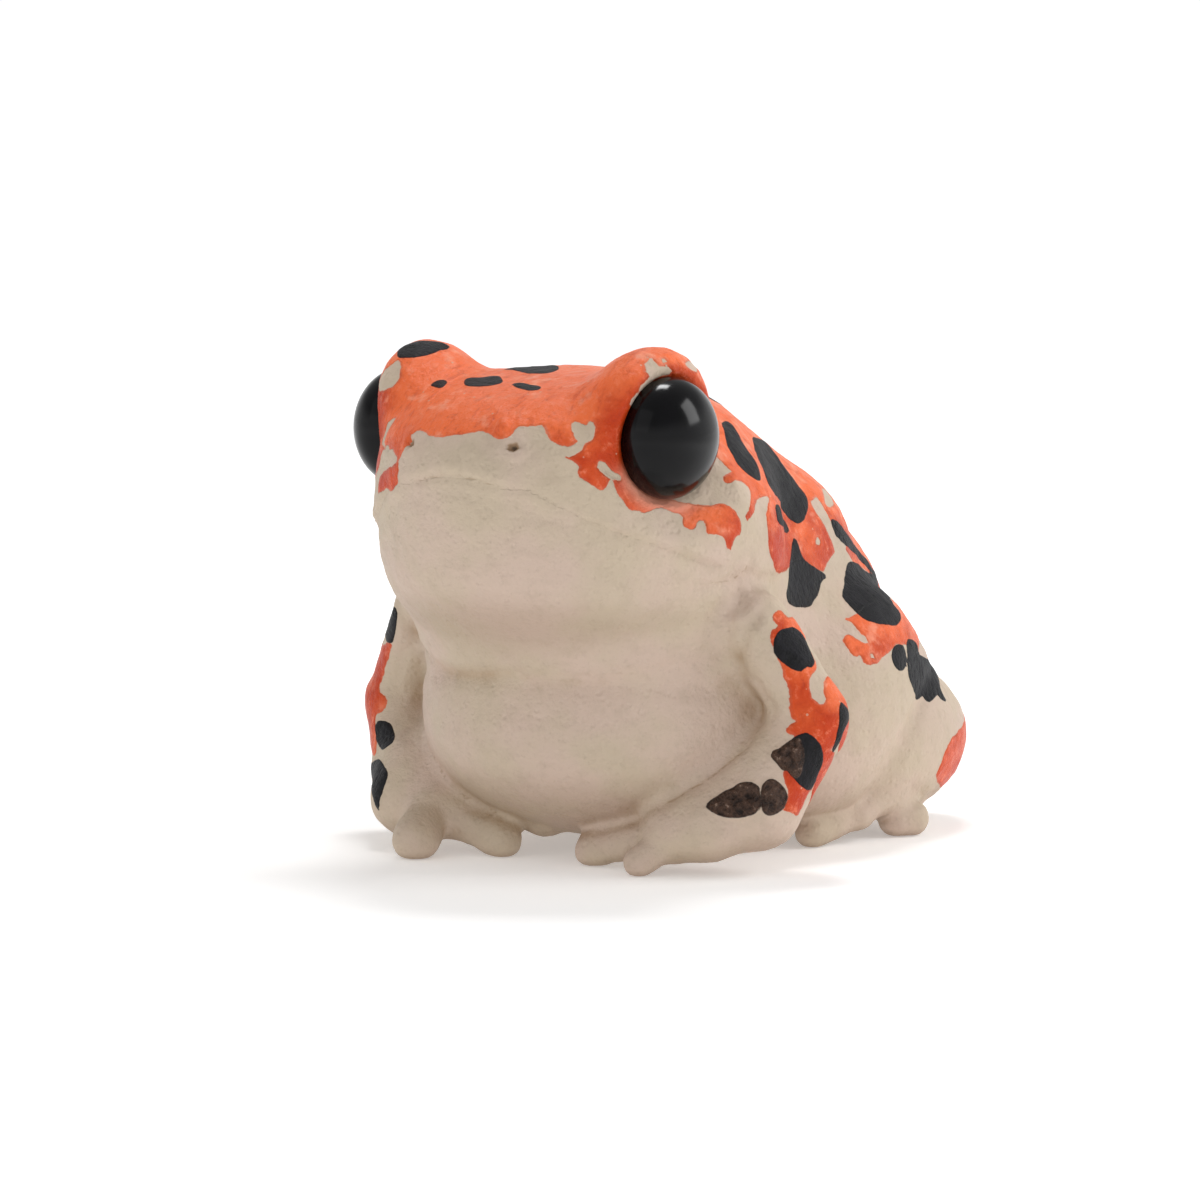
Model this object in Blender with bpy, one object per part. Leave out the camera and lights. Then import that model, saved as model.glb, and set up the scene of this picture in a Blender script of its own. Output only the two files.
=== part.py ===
"""A small moulded and painted frog figurine that sits up on its hands.

Each smooth form is a field: a function that gives a point's distance to the form, below
zero inside. A form is roughed out with plain solids, remeshed, and drawn onto its field.
The frog faces -Y and stands on the plane z = 0. Sizes here are in millimetres.
"""
import math

import bmesh
import bpy
import numpy as np
from mathutils import Matrix, Vector

MM = 0.001

# Seam kept between neighbouring pieces.
SEAM = 0.3

# Eyes: glossy beads, a little flattened, half sunk in the sides of the head.
EYE_CENTRE = (10.2, -8.16, 28.1)
EYE_RADII = (2.85, 3.9, 3.85)

# Head, as level ellipses stacked from the throat up: height, half width, half length, middle y.
HEAD_LEVELS = (
    (9.0, 9.5, 9.0, 0.6),
    (12.0, 10.9, 11.2, 0.4),
    (15.0, 11.9, 13.2, 0.0),
    (18.0, 13.0, 15.5, -0.6),
    (21.5, 13.3, 16.3, -1.0),
    (25.0, 12.9, 16.5, -1.2),
    (28.0, 12.3, 16.2, -1.2),
    (31.0, 11.4, 15.4, -1.2),
)
HEAD_BACK_SHARE = 0.55
HEAD_TOP = 32.1
HEAD_TOP_Y = -4.0
HEAD_TOP_FALL = 0.0175
SNOUT_ROUND = 0.002
NAPE_ROUND = 0.046
NAPE_ROUND_Y = -1.0
NAPE_ROUND_SPAN = 7.0
HEAD_EDGE = 3.2
LEVEL_DROP = 1.0
THROAT_BOTTOM = 11.5
BROW_CENTRE = (8.7, -7.7, 29.3)
BROW_RADII = (3.85, 5.0, 4.4)
ORBIT_CENTRE = (12.6, -8.5, 27.9)
ORBIT_RADII = (4.3, 4.7, 4.7)
ORBIT_EDGE = 2.8

# Mouth: its line falls from the front of the lips to the corners.
LIP_TIP_Y = -17.8
LIP_TIP_Z = 25.6
LIP_FALL_X = 0.33
LIP_FALL_Y = 0.18
LIP_STEP = 0.3
LIP_WIDTH = 1.2
LIP_BOW = 3.0
NOSTRIL = (4.0, -16.9, 27.5)
NOSTRIL_RADIUS = 0.5

# Torso, as rounded masses: centre, radii, tilt in degrees. The fillets join each to those before it.
BELLY = ((0.0, 4.0, 8.6), (13.2, 15.4, 7.9), 0.0)
CHEST = ((0.0, 2.0, 14.5), (12.4, 12.6, 8.5), 0.0)
BACK = ((0.0, 9.5, 17.8), (11.0, 13.4, 9.9), 20.0)
NAPE = ((0.0, 3.5, 23.2), (9.0, 8.8, 7.0), 0.0)
RUMP = ((0.0, 16.0, 9.6), (10.0, 10.2, 9.7), 0.0)
LOIN = ((0.0, 17.2, 14.4), (9.6, 9.6, 7.8), 0.0)
HUMP = ((5.4, 12.4, 20.3), (4.2, 5.0, 3.6), 0.0)
TORSO_MASSES = (BELLY, CHEST, BACK, NAPE, RUMP, LOIN, HUMP)
TORSO_FILLETS = (4.0, 3.0, 3.0, 3.0, 3.0, 2.0)
HEAD_FILLET = 2.0
BROW_FILLET = 1.6

# Neck seam: a line seen from the side, as (y, z), from the throat to the nape.
THROAT_SEAM = (-30.0, 6.87)
NECK_SEAM = (0.5, 14.8)
NAPE_SEAM = (6.5, 40.0)

# Arms: joints and finger tips, for the left side (1) and the right (-1), then radii and fillets.
SHOULDERS = {1: (13.1, -2.2, 15.7), -1: (12.5, -2.0, 15.7)}
ELBOWS = {1: (16.2, -0.4, 10.2), -1: (15.8, -0.5, 9.5)}
ELBOW_DROP = 1.0
ELBOW_TUCK = 0.6
HAND_HEELS = {1: (13.5, -2.7, 4.4), -1: (13.4, -2.9, 4.6)}
WRISTS = {1: (11.0, -4.8, 3.1), -1: (11.9, -5.2, 3.2)}
PALMS = {1: (9.1, -5.6, 2.5), -1: (9.3, -6.3, 2.7)}
SHOULDER_RADIUS = 2.3
ELBOW_RADIUS = 2.15
FOREARM_RADIUS = 2.5
HAND_HEEL_RADIUS = 2.65
WRIST_RADII = {1: 2.1, -1: 2.4}
PALM_RADIUS = 1.75
FINGER_TIPS = {
    1: ((7.7, -7.4, 1.2), (3.1, -5.8, 1.1), (3.3, -4.2, 1.6)),
    -1: ((8.5, -9.3, 1.4), (4.2, -5.8, 1.5), (6.2, -4.4, 2.0)),
}
FINGER_ROOT_RADIUS = 1.5
FINGER_RADII = {1: (1.3, 1.2, 0.9), -1: (1.45, 1.45, 1.3)}

ARM_FILLET = 1.0
FINGER_FILLET = 0.45

# Folded hind leg: two rounded masses, and a foot under them.
THIGH = ((9.7, 12.0, 9.5), (5.7, 9.2, 7.8), -28.0)
SHANK = ((10.0, 17.6, 6.3), (5.5, 9.5, 5.6), 3.0)
HEEL = (11.6, 18.6, 2.4)
SOLE = (12.6, 14.6, 3.2)
KNUCKLE = (12.3, 12.2, 1.9)
HEEL_RADIUS = 1.9
SOLE_RADIUS = 1.6
KNUCKLE_RADIUS = 1.1
TOE_RADII = (1.15, 1.3)
TOE_TIPS = ((10.9, 8.7, 1.0), (13.9, 16.6, 1.15))

FOOT_FILLET = 0.6

# Mesh fineness: voxel size, and the share of faces kept by each form.
TRUNK_VOXEL = 0.62
LIMB_VOXEL = 0.42
TRUNK_SHARE = 0.09
LEG_SHARE = 0.06
ARM_SHARE = 0.1
FOOT_SHARE = 0.13
BALL_SUBDIVISIONS = 3
JOINT_SUBDIVISIONS = 2
ROD_SEGMENTS = 16
EYE_MESH = (24, 14)
NOSTRIL_MESH = (10, 6)
SMOOTH_ANGLE = 35.0

# Finish: base colour, roughness.
CREAM = ((0.56, 0.50, 0.41, 1.0), 0.62)
ORANGE = ((0.65, 0.11, 0.04, 1.0), 0.45)
BLACK = ((0.012, 0.012, 0.014, 1.0), 0.08)


class Ball:
    """An ellipsoid, its front end raised by tilt degrees."""

    def __init__(self, centre, radii, tilt=0.0):
        self.centre = Vector(centre)
        self.radii = Vector(radii)
        self.turn = Matrix.Rotation(-math.radians(tilt), 4, "X")

    def distance(self, points):
        local = (points - np.array(self.centre)) @ np.array(self.turn.to_3x3())
        radii = np.array(self.radii)
        near = np.linalg.norm(local / radii, axis=1)
        slope = np.linalg.norm(local / radii**2, axis=1)
        return near * (near - 1.0) / np.maximum(slope, 1e-6)

    def rough_out(self, mesh):
        size = Matrix.Diagonal(self.radii).to_4x4()
        place = Matrix.Scale(MM, 4) @ Matrix.Translation(self.centre) @ self.turn @ size
        bmesh.ops.create_icosphere(mesh, subdivisions=BALL_SUBDIVISIONS, radius=1.0, matrix=place)


class Limb:
    """A round rod with domed ends, from one joint to the next."""

    def __init__(self, start, end, start_radius, end_radius):
        self.ends = (Vector(start), Vector(end))
        self.radii = (start_radius, end_radius)

    def distance(self, points):
        start, end = (np.array(end) for end in self.ends)
        axis = end - start
        along = np.clip((points - start) @ axis / (axis @ axis), 0.0, 1.0)
        radius = self.radii[0] + (self.radii[1] - self.radii[0]) * along
        return np.linalg.norm(points - start - along[:, None] * axis, axis=1) - radius

    def rough_out(self, mesh):
        start, end = self.ends
        axis = end - start
        turn = axis.to_track_quat("Z", "Y").to_matrix().to_4x4()
        for centre, radius in zip(self.ends, self.radii):
            place = Matrix.Scale(MM, 4) @ Matrix.Translation(centre)
            bmesh.ops.create_icosphere(
                mesh, subdivisions=JOINT_SUBDIVISIONS, radius=radius, matrix=place)
        place = Matrix.Scale(MM, 4) @ Matrix.Translation((start + end) / 2) @ turn
        bmesh.ops.create_cone(
            mesh, cap_ends=True, segments=ROD_SEGMENTS, depth=axis.length,
            radius1=self.radii[0], radius2=self.radii[1], matrix=place)


def fuse(first, second, reach):
    """The union of two fields, with a fillet about reach wide."""
    overlap = np.maximum(reach - np.abs(first - second), 0.0) / reach
    return np.minimum(first, second) - overlap**2 * reach / 4.0


def trim(first, second, reach):
    """What two fields share, with its edge rounded over reach."""
    overlap = np.maximum(reach - np.abs(first - second), 0.0) / reach
    return np.maximum(first, second) + overlap**2 * reach / 4.0


def eased(value):
    """A smooth step from 0 to 1."""
    part = np.clip(value, 0.0, 1.0)
    return part**2 * (3 - 2 * part)


def folded(points):
    """Points with their right half laid on the left."""
    return np.column_stack([np.abs(points[:, 0]), points[:, 1], points[:, 2]])


def level_size(height, column):
    """One column of the head's levels at any height, on a smooth curve."""
    levels = np.array(HEAD_LEVELS)
    heights, values = levels[:, 0], levels[:, column]
    slopes = np.gradient(values, heights)
    low = np.clip(np.searchsorted(heights, height) - 1, 0, len(heights) - 2)
    step = heights[low + 1] - heights[low]
    part = np.clip((height - heights[low]) / step, 0.0, 1.0)
    leave = part * (1 - part) ** 2 * step * slopes[low]
    arrive = part**2 * (part - 1) * step * slopes[low + 1]
    return values[low] + eased(part) * (values[low + 1] - values[low]) + leave + arrive


def lip_height(points):
    """Height of the line of the mouth at these points."""
    across = np.sqrt(points[:, 0] ** 2 + LIP_BOW**2) - LIP_BOW
    return LIP_TIP_Z - LIP_FALL_X * across - LIP_FALL_Y * (points[:, 1] - LIP_TIP_Y)


def roof_height(points):
    """Height of the top of the head. It falls off to the sides more behind the eyes."""
    side_fall = SNOUT_ROUND + (NAPE_ROUND - SNOUT_ROUND) * eased(
        1.0 + (points[:, 1] - NAPE_ROUND_Y) / NAPE_ROUND_SPAN)
    end_fall = HEAD_TOP_FALL * (points[:, 1] - HEAD_TOP_Y) ** 2
    return HEAD_TOP - end_fall - side_fall * points[:, 0] ** 2


def head_field(points):
    half = folded(points)
    width, length, middle = (level_size(half[:, 2], column) for column in (1, 2, 3))
    forward = half[:, 1] - middle
    length = np.where(forward > 0.0, length * HEAD_BACK_SHARE, length)
    near = np.hypot(half[:, 0] / width, forward / length)
    slope = np.hypot(half[:, 0] / width**2, forward / length**2)
    side = near * (near - 1.0) / np.maximum(slope, 1e-6)
    side = side + LIP_STEP * eased(0.5 - (half[:, 2] - lip_height(half)) / LIP_WIDTH)
    field = trim(side, half[:, 2] - roof_height(half), HEAD_EDGE)
    field = trim(field, THROAT_BOTTOM - half[:, 2], HEAD_EDGE)
    field = fuse(field, Ball(BROW_CENTRE, BROW_RADII).distance(half), BROW_FILLET)
    return trim(field, -Ball(ORBIT_CENTRE, ORBIT_RADII).distance(half), ORBIT_EDGE)


def torso_field(points):
    half = folded(points)
    field = Ball(*BELLY).distance(half)
    for mass, fillet in zip(TORSO_MASSES[1:], TORSO_FILLETS):
        field = fuse(field, Ball(*mass).distance(half), fillet)
    return field


def trunk_field(points):
    return fuse(head_field(points), torso_field(points), HEAD_FILLET)


def rough_trunk(mesh):
    for mass in TORSO_MASSES:
        Ball(*mass).rough_out(mesh)
    for height, width, length, middle in HEAD_LEVELS[1:]:
        Ball((0.0, middle, height - LEVEL_DROP), (width, length, HEAD_EDGE)).rough_out(mesh)
    for side in (-1, 1):
        Ball(sided(BROW_CENTRE, side), BROW_RADII).rough_out(mesh)


def sided(point, side):
    """A point of the left side, or its like on the right where side is -1."""
    return (point[0] * side, point[1], point[2])


def sided_mass(mass, side):
    centre, radii, tilt = mass
    return Ball(sided(centre, side), radii, tilt)


def arm_forms(side):
    """The arm's rods, from the shoulder out, each with the fillet that joins it."""
    elbow, heel, wrist, palm = (sided(joint[side], side) for joint in (ELBOWS, HAND_HEELS, WRISTS, PALMS))
    bend = (elbow[0] - ELBOW_TUCK * side, elbow[1], elbow[2] - ELBOW_DROP)
    wrist_radius = WRIST_RADII[side]
    forms = [
        (Limb(sided(SHOULDERS[side], side), elbow, SHOULDER_RADIUS, ELBOW_RADIUS), ARM_FILLET),
        (Limb(bend, heel, FOREARM_RADIUS, HAND_HEEL_RADIUS), ARM_FILLET),
        (Limb(heel, wrist, HAND_HEEL_RADIUS, wrist_radius), ARM_FILLET),
        (Limb(wrist, palm, wrist_radius, PALM_RADIUS), ARM_FILLET),
    ]
    for tip, radius in zip(FINGER_TIPS[side], FINGER_RADII[side]):
        forms.append((Limb(palm, sided(tip, side), FINGER_ROOT_RADIUS, radius), FINGER_FILLET))
    return forms


def foot_forms(side):
    """The foot's rods: the sole, then the knuckle and tip of the inner toe, then the outer toe."""
    sole, knuckle = sided(SOLE, side), sided(KNUCKLE, side)
    inner, outer = (sided(tip, side) for tip in TOE_TIPS)
    rods = (
        Limb(sided(HEEL, side), sole, HEEL_RADIUS, SOLE_RADIUS),
        Limb(sole, knuckle, SOLE_RADIUS, KNUCKLE_RADIUS),
        Limb(knuckle, inner, KNUCKLE_RADIUS, TOE_RADII[0]),
        Limb(sole, outer, SOLE_RADIUS, TOE_RADII[1]),
    )
    return [(rod, FOOT_FILLET) for rod in rods]


def fused_field(forms):
    """The field of some forms, each fused to those before it."""
    def field(points):
        total = forms[0][0].distance(points)
        for form, reach in forms[1:]:
            total = fuse(total, form.distance(points), reach)
        return total
    return field


def rough_forms(forms):
    def rough_out(mesh):
        for form, _ in forms:
            form.rough_out(mesh)
    return rough_out


def linked(name, mesh):
    piece = bpy.data.objects.new(name, mesh)
    bpy.context.scene.collection.objects.link(piece)
    return piece


def apply_modifiers(piece):
    """Bake an object's modifiers into its mesh."""
    bpy.context.view_layer.update()
    seen = piece.evaluated_get(bpy.context.evaluated_depsgraph_get())
    baked = bpy.data.meshes.new_from_object(seen)
    old = piece.data
    piece.modifiers.clear()
    piece.data = baked
    bpy.data.meshes.remove(old)


def drawn(points, field, level=0.0, rounds=6):
    """Points moved along a field's slope until they lie at level."""
    probe = 0.02
    longest_step = 0.6
    for _ in range(rounds):
        here = field(points) - level
        slope = np.empty_like(points)
        for axis in range(3):
            shift = np.zeros(3)
            shift[axis] = probe
            slope[:, axis] = (field(points + shift) - field(points - shift)) / (2 * probe)
        size = np.maximum((slope**2).sum(axis=1), 0.2)
        step = np.clip(here, -longest_step, longest_step) / size
        points = points - step[:, None] * slope
    return points


def draw_onto(piece, field, level=0.0, rounds=6):
    """Draw a mesh's corners onto a field."""
    flat = np.empty(len(piece.data.vertices) * 3)
    piece.data.vertices.foreach_get("co", flat)
    points = drawn(flat.reshape(-1, 3) / MM, field, level, rounds)
    piece.data.vertices.foreach_set("co", (points * MM).ravel())
    piece.data.update()


def relax(piece, times):
    """Even out a mesh's corners."""
    mesh = bmesh.new()
    mesh.from_mesh(piece.data)
    for _ in range(times):
        bmesh.ops.smooth_vert(
            mesh, verts=mesh.verts, factor=0.5,
            use_axis_x=True, use_axis_y=True, use_axis_z=True)
    mesh.to_mesh(piece.data)
    mesh.free()


def remesh(piece, voxel):
    even = piece.modifiers.new("Even faces", "REMESH")
    even.mode = "VOXEL"
    even.voxel_size = voxel * MM
    apply_modifiers(piece)


def modelled(name, rough_out, field, voxel, share):
    """A smooth closed form: roughed out, remeshed, drawn onto its field and thinned."""
    mesh = bmesh.new()
    rough_out(mesh)
    rough = bpy.data.meshes.new(name)
    mesh.to_mesh(rough)
    mesh.free()
    piece = linked(name, rough)
    remesh(piece, voxel)
    for _ in range(3):
        draw_onto(piece, field, rounds=4)
        relax(piece, 2)
    remesh(piece, voxel)
    for _ in range(2):
        draw_onto(piece, field, rounds=3)
        relax(piece, 2)
    draw_onto(piece, field, rounds=3)
    thin = piece.modifiers.new("Thin out", "DECIMATE")
    thin.ratio = share
    apply_modifiers(piece)
    return piece


def boolean(piece, cutter, operation):
    cut = piece.modifiers.new("Cut", "BOOLEAN")
    cut.operation = operation
    cut.object = cutter
    cut.solver = "EXACT"
    apply_modifiers(piece)
    keep_largest(piece)


def connected(mesh):
    """The separate closed surfaces of a mesh, each as a set of its corners."""
    left = set(mesh.verts)
    groups = []
    while left:
        start = left.pop()
        group = {start}
        front = [start]
        while front:
            corner = front.pop()
            for edge in corner.link_edges:
                other = edge.other_vert(corner)
                if other in left:
                    left.discard(other)
                    group.add(other)
                    front.append(other)
        groups.append(group)
    return groups


def enclosed(group):
    """Six times the volume inside one closed surface, below zero where it is inside out."""
    total = 0.0
    for face in {face for corner in group for face in corner.link_faces}:
        first, *rest = [corner.co for corner in face.verts]
        for second, third in zip(rest, rest[1:]):
            total += first.dot(second.cross(third))
    return total


def keep_largest(piece):
    """Keep the closed surface that holds the most."""
    mesh = bmesh.new()
    mesh.from_mesh(piece.data)
    groups = sorted(connected(mesh), key=enclosed, reverse=True)
    loose = [corner for group in groups[1:] for corner in group]
    bmesh.ops.delete(mesh, geom=loose, context="VERTS")
    mesh.to_mesh(piece.data)
    mesh.free()


def grown(piece, field):
    """A copy of a form, larger by the seam all round."""
    copy = linked(piece.name + "_grown", piece.data.copy())
    draw_onto(copy, field, level=SEAM)
    return copy


def bead(name, centre, radii, fineness):
    """A round bead with its poles to the left and right."""
    mesh = bmesh.new()
    size = Matrix.Diagonal(Vector(radii)).to_4x4()
    turn = Matrix.Rotation(math.pi / 2, 4, "Y")
    place = Matrix.Scale(MM, 4) @ Matrix.Translation(centre) @ size @ turn
    segments, rings = fineness
    bmesh.ops.create_uvsphere(
        mesh, u_segments=segments, v_segments=rings, radius=1.0, matrix=place)
    made = bpy.data.meshes.new(name)
    mesh.to_mesh(made)
    mesh.free()
    return linked(name, made)


def neck_wedge(name, offset):
    """A block that holds the head. Its two lower faces are the neck seam, moved out by offset."""
    def moved(start, end):
        along = Vector((end[0] - start[0], end[1] - start[1])).normalized()
        return Vector((along.y, -along.x)) * offset
    throat = moved(THROAT_SEAM, NECK_SEAM)
    nape = moved(NECK_SEAM, NAPE_SEAM)
    half_width = 30.0
    profile = [
        Vector(THROAT_SEAM) + throat,
        Vector(NECK_SEAM) + (throat + nape) / (1.0 + throat.dot(nape) / max(offset**2, 1e-9)),
        Vector(NAPE_SEAM) + nape,
        Vector((THROAT_SEAM[0], NAPE_SEAM[1])) + throat,
    ]
    mesh = bmesh.new()
    corners = [mesh.verts.new((-half_width * MM, y * MM, z * MM)) for y, z in profile]
    face = mesh.faces.new(corners)
    side = bmesh.ops.extrude_face_region(mesh, geom=[face])
    moved_corners = [item for item in side["geom"] if isinstance(item, bmesh.types.BMVert)]
    bmesh.ops.translate(mesh, verts=moved_corners, vec=(2 * half_width * MM, 0.0, 0.0))
    bmesh.ops.recalc_face_normals(mesh, faces=mesh.faces)
    made = bpy.data.meshes.new(name)
    mesh.to_mesh(made)
    mesh.free()
    return linked(name, made)


def one_side(piece, name, point, normal):
    """A copy of a piece, cut flat at a plane and kept on the side its normal points to."""
    mesh = bmesh.new()
    mesh.from_mesh(piece.data)
    every = mesh.verts[:] + mesh.edges[:] + mesh.faces[:]
    cut = bmesh.ops.bisect_plane(
        mesh, geom=every, plane_co=point * MM, plane_no=normal, clear_inner=True)
    rim = [item for item in cut["geom_cut"] if isinstance(item, bmesh.types.BMEdge)]
    bmesh.ops.triangle_fill(mesh, edges=rim, use_beauty=True)
    bmesh.ops.recalc_face_normals(mesh, faces=mesh.faces)
    made = bpy.data.meshes.new(name)
    mesh.to_mesh(made)
    mesh.free()
    return linked(name, made)


def parted(piece, near_name, far_name, point, toward):
    """Cut a piece in two at a plane, with a seam. The far one lies the way toward points."""
    normal = Vector(toward).normalized()
    middle = Vector(point)
    near = one_side(piece, near_name, middle - normal * SEAM / 2, -normal)
    far = one_side(piece, far_name, middle + normal * SEAM / 2, normal)
    discard(piece)
    return near, far


def discard(piece):
    mesh = piece.data
    bpy.data.objects.remove(piece)
    bpy.data.meshes.remove(mesh)


def finish(piece, name, look):
    colour, roughness = look
    material = bpy.data.materials.new(name)
    material.use_nodes = True
    shader = material.node_tree.nodes["Principled BSDF"]
    shader.inputs["Base Color"].default_value = colour
    shader.inputs["Roughness"].default_value = roughness
    shader.inputs["Metallic"].default_value = 0.0
    piece.data.materials.clear()
    piece.data.materials.append(material)
    piece.name = name
    piece.data.name = name
    piece.data.shade_smooth()
    piece.data.set_sharp_from_angle(angle=math.radians(SMOOTH_ANGLE))


def stand_on_floor(piece):
    """Cut a piece flat at z = 0 where it reaches lower."""
    corners = [corner.co.z for corner in piece.data.vertices]
    if min(corners) >= 0.0:
        return piece
    name = piece.name
    flat = one_side(piece, name + "_flat", Vector((0.0, 0.0, 0.0)), Vector((0.0, 0.0, 1.0)))
    discard(piece)
    flat.name = name
    return flat


def make_trunk():
    """Head and torso, the eyes, and a grown copy of the trunk that cuts the limbs' roots."""
    trunk = modelled("trunk", rough_trunk, trunk_field, TRUNK_VOXEL, TRUNK_SHARE)
    grown_trunk = grown(trunk, trunk_field)
    head = linked("head", trunk.data.copy())
    wedge = neck_wedge("wedge", SEAM / 2)
    boolean(trunk, wedge, "DIFFERENCE")
    discard(wedge)
    wedge = neck_wedge("wedge", -SEAM / 2)
    boolean(head, wedge, "INTERSECT")
    discard(wedge)
    pieces = {"torso": trunk, "head": head}
    for side, word in ((1, "left"), (-1, "right")):
        centre = Vector(sided(EYE_CENTRE, side))
        socket = bead("socket", centre, [radius + SEAM for radius in EYE_RADII], EYE_MESH)
        boolean(head, socket, "DIFFERENCE")
        discard(socket)
        nostril = drawn(np.array([sided(NOSTRIL, side)]), head_field)[0]
        pit = bead("pit", Vector(nostril), [NOSTRIL_RADIUS] * 3, NOSTRIL_MESH)
        boolean(head, pit, "DIFFERENCE")
        discard(pit)
        pieces["eye_" + word] = bead("eye_" + word, centre, EYE_RADII, EYE_MESH)
    return pieces, grown_trunk


def make_leg(side, word, grown_trunk):
    thigh_form = sided_mass(THIGH, side)
    shank_form = sided_mass(SHANK, side)
    foot = foot_forms(side)
    thigh = modelled("thigh_" + word, thigh_form.rough_out, thigh_form.distance, LIMB_VOXEL, LEG_SHARE)
    shank = modelled("shank_" + word, shank_form.rough_out, shank_form.distance, LIMB_VOXEL, LEG_SHARE)
    sole = modelled("foot_" + word, rough_forms(foot), fused_field(foot), LIMB_VOXEL, FOOT_SHARE)
    grown_thigh = grown(thigh, thigh_form.distance)
    grown_shank = grown(shank, shank_form.distance)
    boolean(shank, grown_thigh, "DIFFERENCE")
    boolean(sole, grown_thigh, "DIFFERENCE")
    boolean(sole, grown_shank, "DIFFERENCE")
    for piece in (thigh, shank, sole):
        boolean(piece, grown_trunk, "DIFFERENCE")
    discard(grown_shank)
    return {"thigh_" + word: thigh, "shank_" + word: shank, "foot_" + word: sole}, grown_thigh


def make_arm(side, word, grown_trunk, grown_thigh):
    forms = arm_forms(side)
    arm = modelled("arm", rough_forms(forms), fused_field(forms), LIMB_VOXEL, ARM_SHARE)
    boolean(arm, grown_trunk, "DIFFERENCE")
    boolean(arm, grown_thigh, "DIFFERENCE")
    shoulder, elbow, heel, wrist, palm = (
        Vector(sided(joint[side], side)) for joint in (SHOULDERS, ELBOWS, HAND_HEELS, WRISTS, PALMS))
    bend = (heel - elbow).normalized() + (elbow - shoulder).normalized()
    names = [part + word for part in ("upper_arm_", "forearm_", "hand_")]
    upper, lower = parted(arm, names[0], "lower", elbow, bend)
    fore, hand = parted(lower, names[1], names[2], wrist, palm - heel)
    return dict(zip(names, (upper, fore, hand)))


def look_of(name):
    if name.startswith("eye"):
        return BLACK
    if name.startswith("upper_arm"):
        return ORANGE
    return CREAM


def centre_over_origin(pieces):
    """Hang every piece on one empty, and move that so the box stands centred on the origin."""
    corners = np.array([corner.co[:] for piece in pieces for corner in piece.data.vertices])
    middle = (corners.min(axis=0) + corners.max(axis=0)) / 2
    root = bpy.data.objects.new("frog", None)
    bpy.context.scene.collection.objects.link(root)
    root.location = (-middle[0], -middle[1], -corners[:, 2].min())
    for piece in pieces:
        piece.parent = root


def main():
    for old in list(bpy.data.objects):
        bpy.data.objects.remove(old)
    pieces, grown_trunk = make_trunk()
    for side, word in ((1, "left"), (-1, "right")):
        leg, grown_thigh = make_leg(side, word, grown_trunk)
        pieces.update(leg)
        pieces.update(make_arm(side, word, grown_trunk, grown_thigh))
        discard(grown_thigh)
    discard(grown_trunk)
    for name in list(pieces):
        if not name.startswith("eye"):
            pieces[name] = stand_on_floor(pieces[name])
        finish(pieces[name], name, look_of(name))
    centre_over_origin(list(pieces.values()))


main()
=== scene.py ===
import math
import random

import bmesh
import bpy
import numpy as np
from mathutils import Matrix, Vector, noise
from mathutils.bvhtree import BVHTree


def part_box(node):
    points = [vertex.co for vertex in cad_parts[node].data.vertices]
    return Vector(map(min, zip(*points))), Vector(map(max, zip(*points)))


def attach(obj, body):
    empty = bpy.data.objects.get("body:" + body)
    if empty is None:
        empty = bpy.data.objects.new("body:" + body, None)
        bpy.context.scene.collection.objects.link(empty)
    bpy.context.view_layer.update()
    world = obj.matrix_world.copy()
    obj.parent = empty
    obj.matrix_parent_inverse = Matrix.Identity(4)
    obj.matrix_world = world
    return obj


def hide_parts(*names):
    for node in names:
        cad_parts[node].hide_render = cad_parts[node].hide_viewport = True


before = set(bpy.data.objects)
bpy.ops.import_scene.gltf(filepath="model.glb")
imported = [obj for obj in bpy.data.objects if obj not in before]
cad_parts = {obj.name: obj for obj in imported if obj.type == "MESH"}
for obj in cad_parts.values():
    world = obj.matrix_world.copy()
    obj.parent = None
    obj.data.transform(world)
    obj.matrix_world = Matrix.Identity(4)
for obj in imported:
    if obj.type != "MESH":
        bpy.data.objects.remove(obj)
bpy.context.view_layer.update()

# Sizes are in millimetres, in the frog's own frame: it faces -Y, its left is +X, and the
# plane z = 0 carries it. SHIFT moves that frame to the row's.
MM = 0.001
EYE_CENTRE = (10.2, -8.16, 28.1)
EYE_RADII = (2.85, 3.9, 3.85)
eye_boxes = [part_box("eye_left"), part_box("eye_right")]
eyes_middle = sum(((Vector(low) + Vector(high)) / 4 for low, high in eye_boxes), Vector())
SHIFT = eyes_middle / MM - Vector((0.0, EYE_CENTRE[1], EYE_CENTRE[2]))

# The photo's camera, in the frog's frame. Pixels are those of the 1200 x 1200 photo.
PHOTO_SIZE = 1200
VIEW_AZIMUTH = 33.0
VIEW_ELEVATION = 6.0
VIEW_DISTANCE = 300.0
VIEW_HALF_WIDTH = 39.6
VIEW_AIM = (-0.198, 16.5)
SENSOR_WIDTH = 36.0

# Head, as level ellipses: height, half width, half length, middle y.
HEAD_LEVELS = (
    (9.0, 9.5, 9.0, 0.6),
    (12.0, 10.9, 11.2, 0.4),
    (15.0, 11.9, 13.2, 0.0),
    (18.0, 13.0, 15.5, -0.6),
    (21.5, 13.3, 16.3, -1.0),
    (25.0, 12.9, 16.5, -1.2),
    (28.0, 12.3, 16.2, -1.2),
    (31.0, 11.4, 15.4, -1.2),
)
HEAD_BACK_SHARE = 0.55
HEAD_TOP = 32.1
HEAD_TOP_Y = -4.0
HEAD_TOP_FALL = 0.0175
SNOUT_ROUND = 0.002
NAPE_ROUND = 0.046
NAPE_ROUND_Y = -1.0
NAPE_ROUND_SPAN = 7.0
HEAD_EDGE = 3.2
THROAT_BOTTOM = 11.5
BROW_CENTRE = (8.7, -7.7, 29.3)
BROW_RADII = (3.85, 5.0, 4.4)
BROW_FILLET = 1.6
ORBIT_CENTRE = (12.6, -8.5, 27.9)
ORBIT_RADII = (4.3, 4.7, 4.7)
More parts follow.
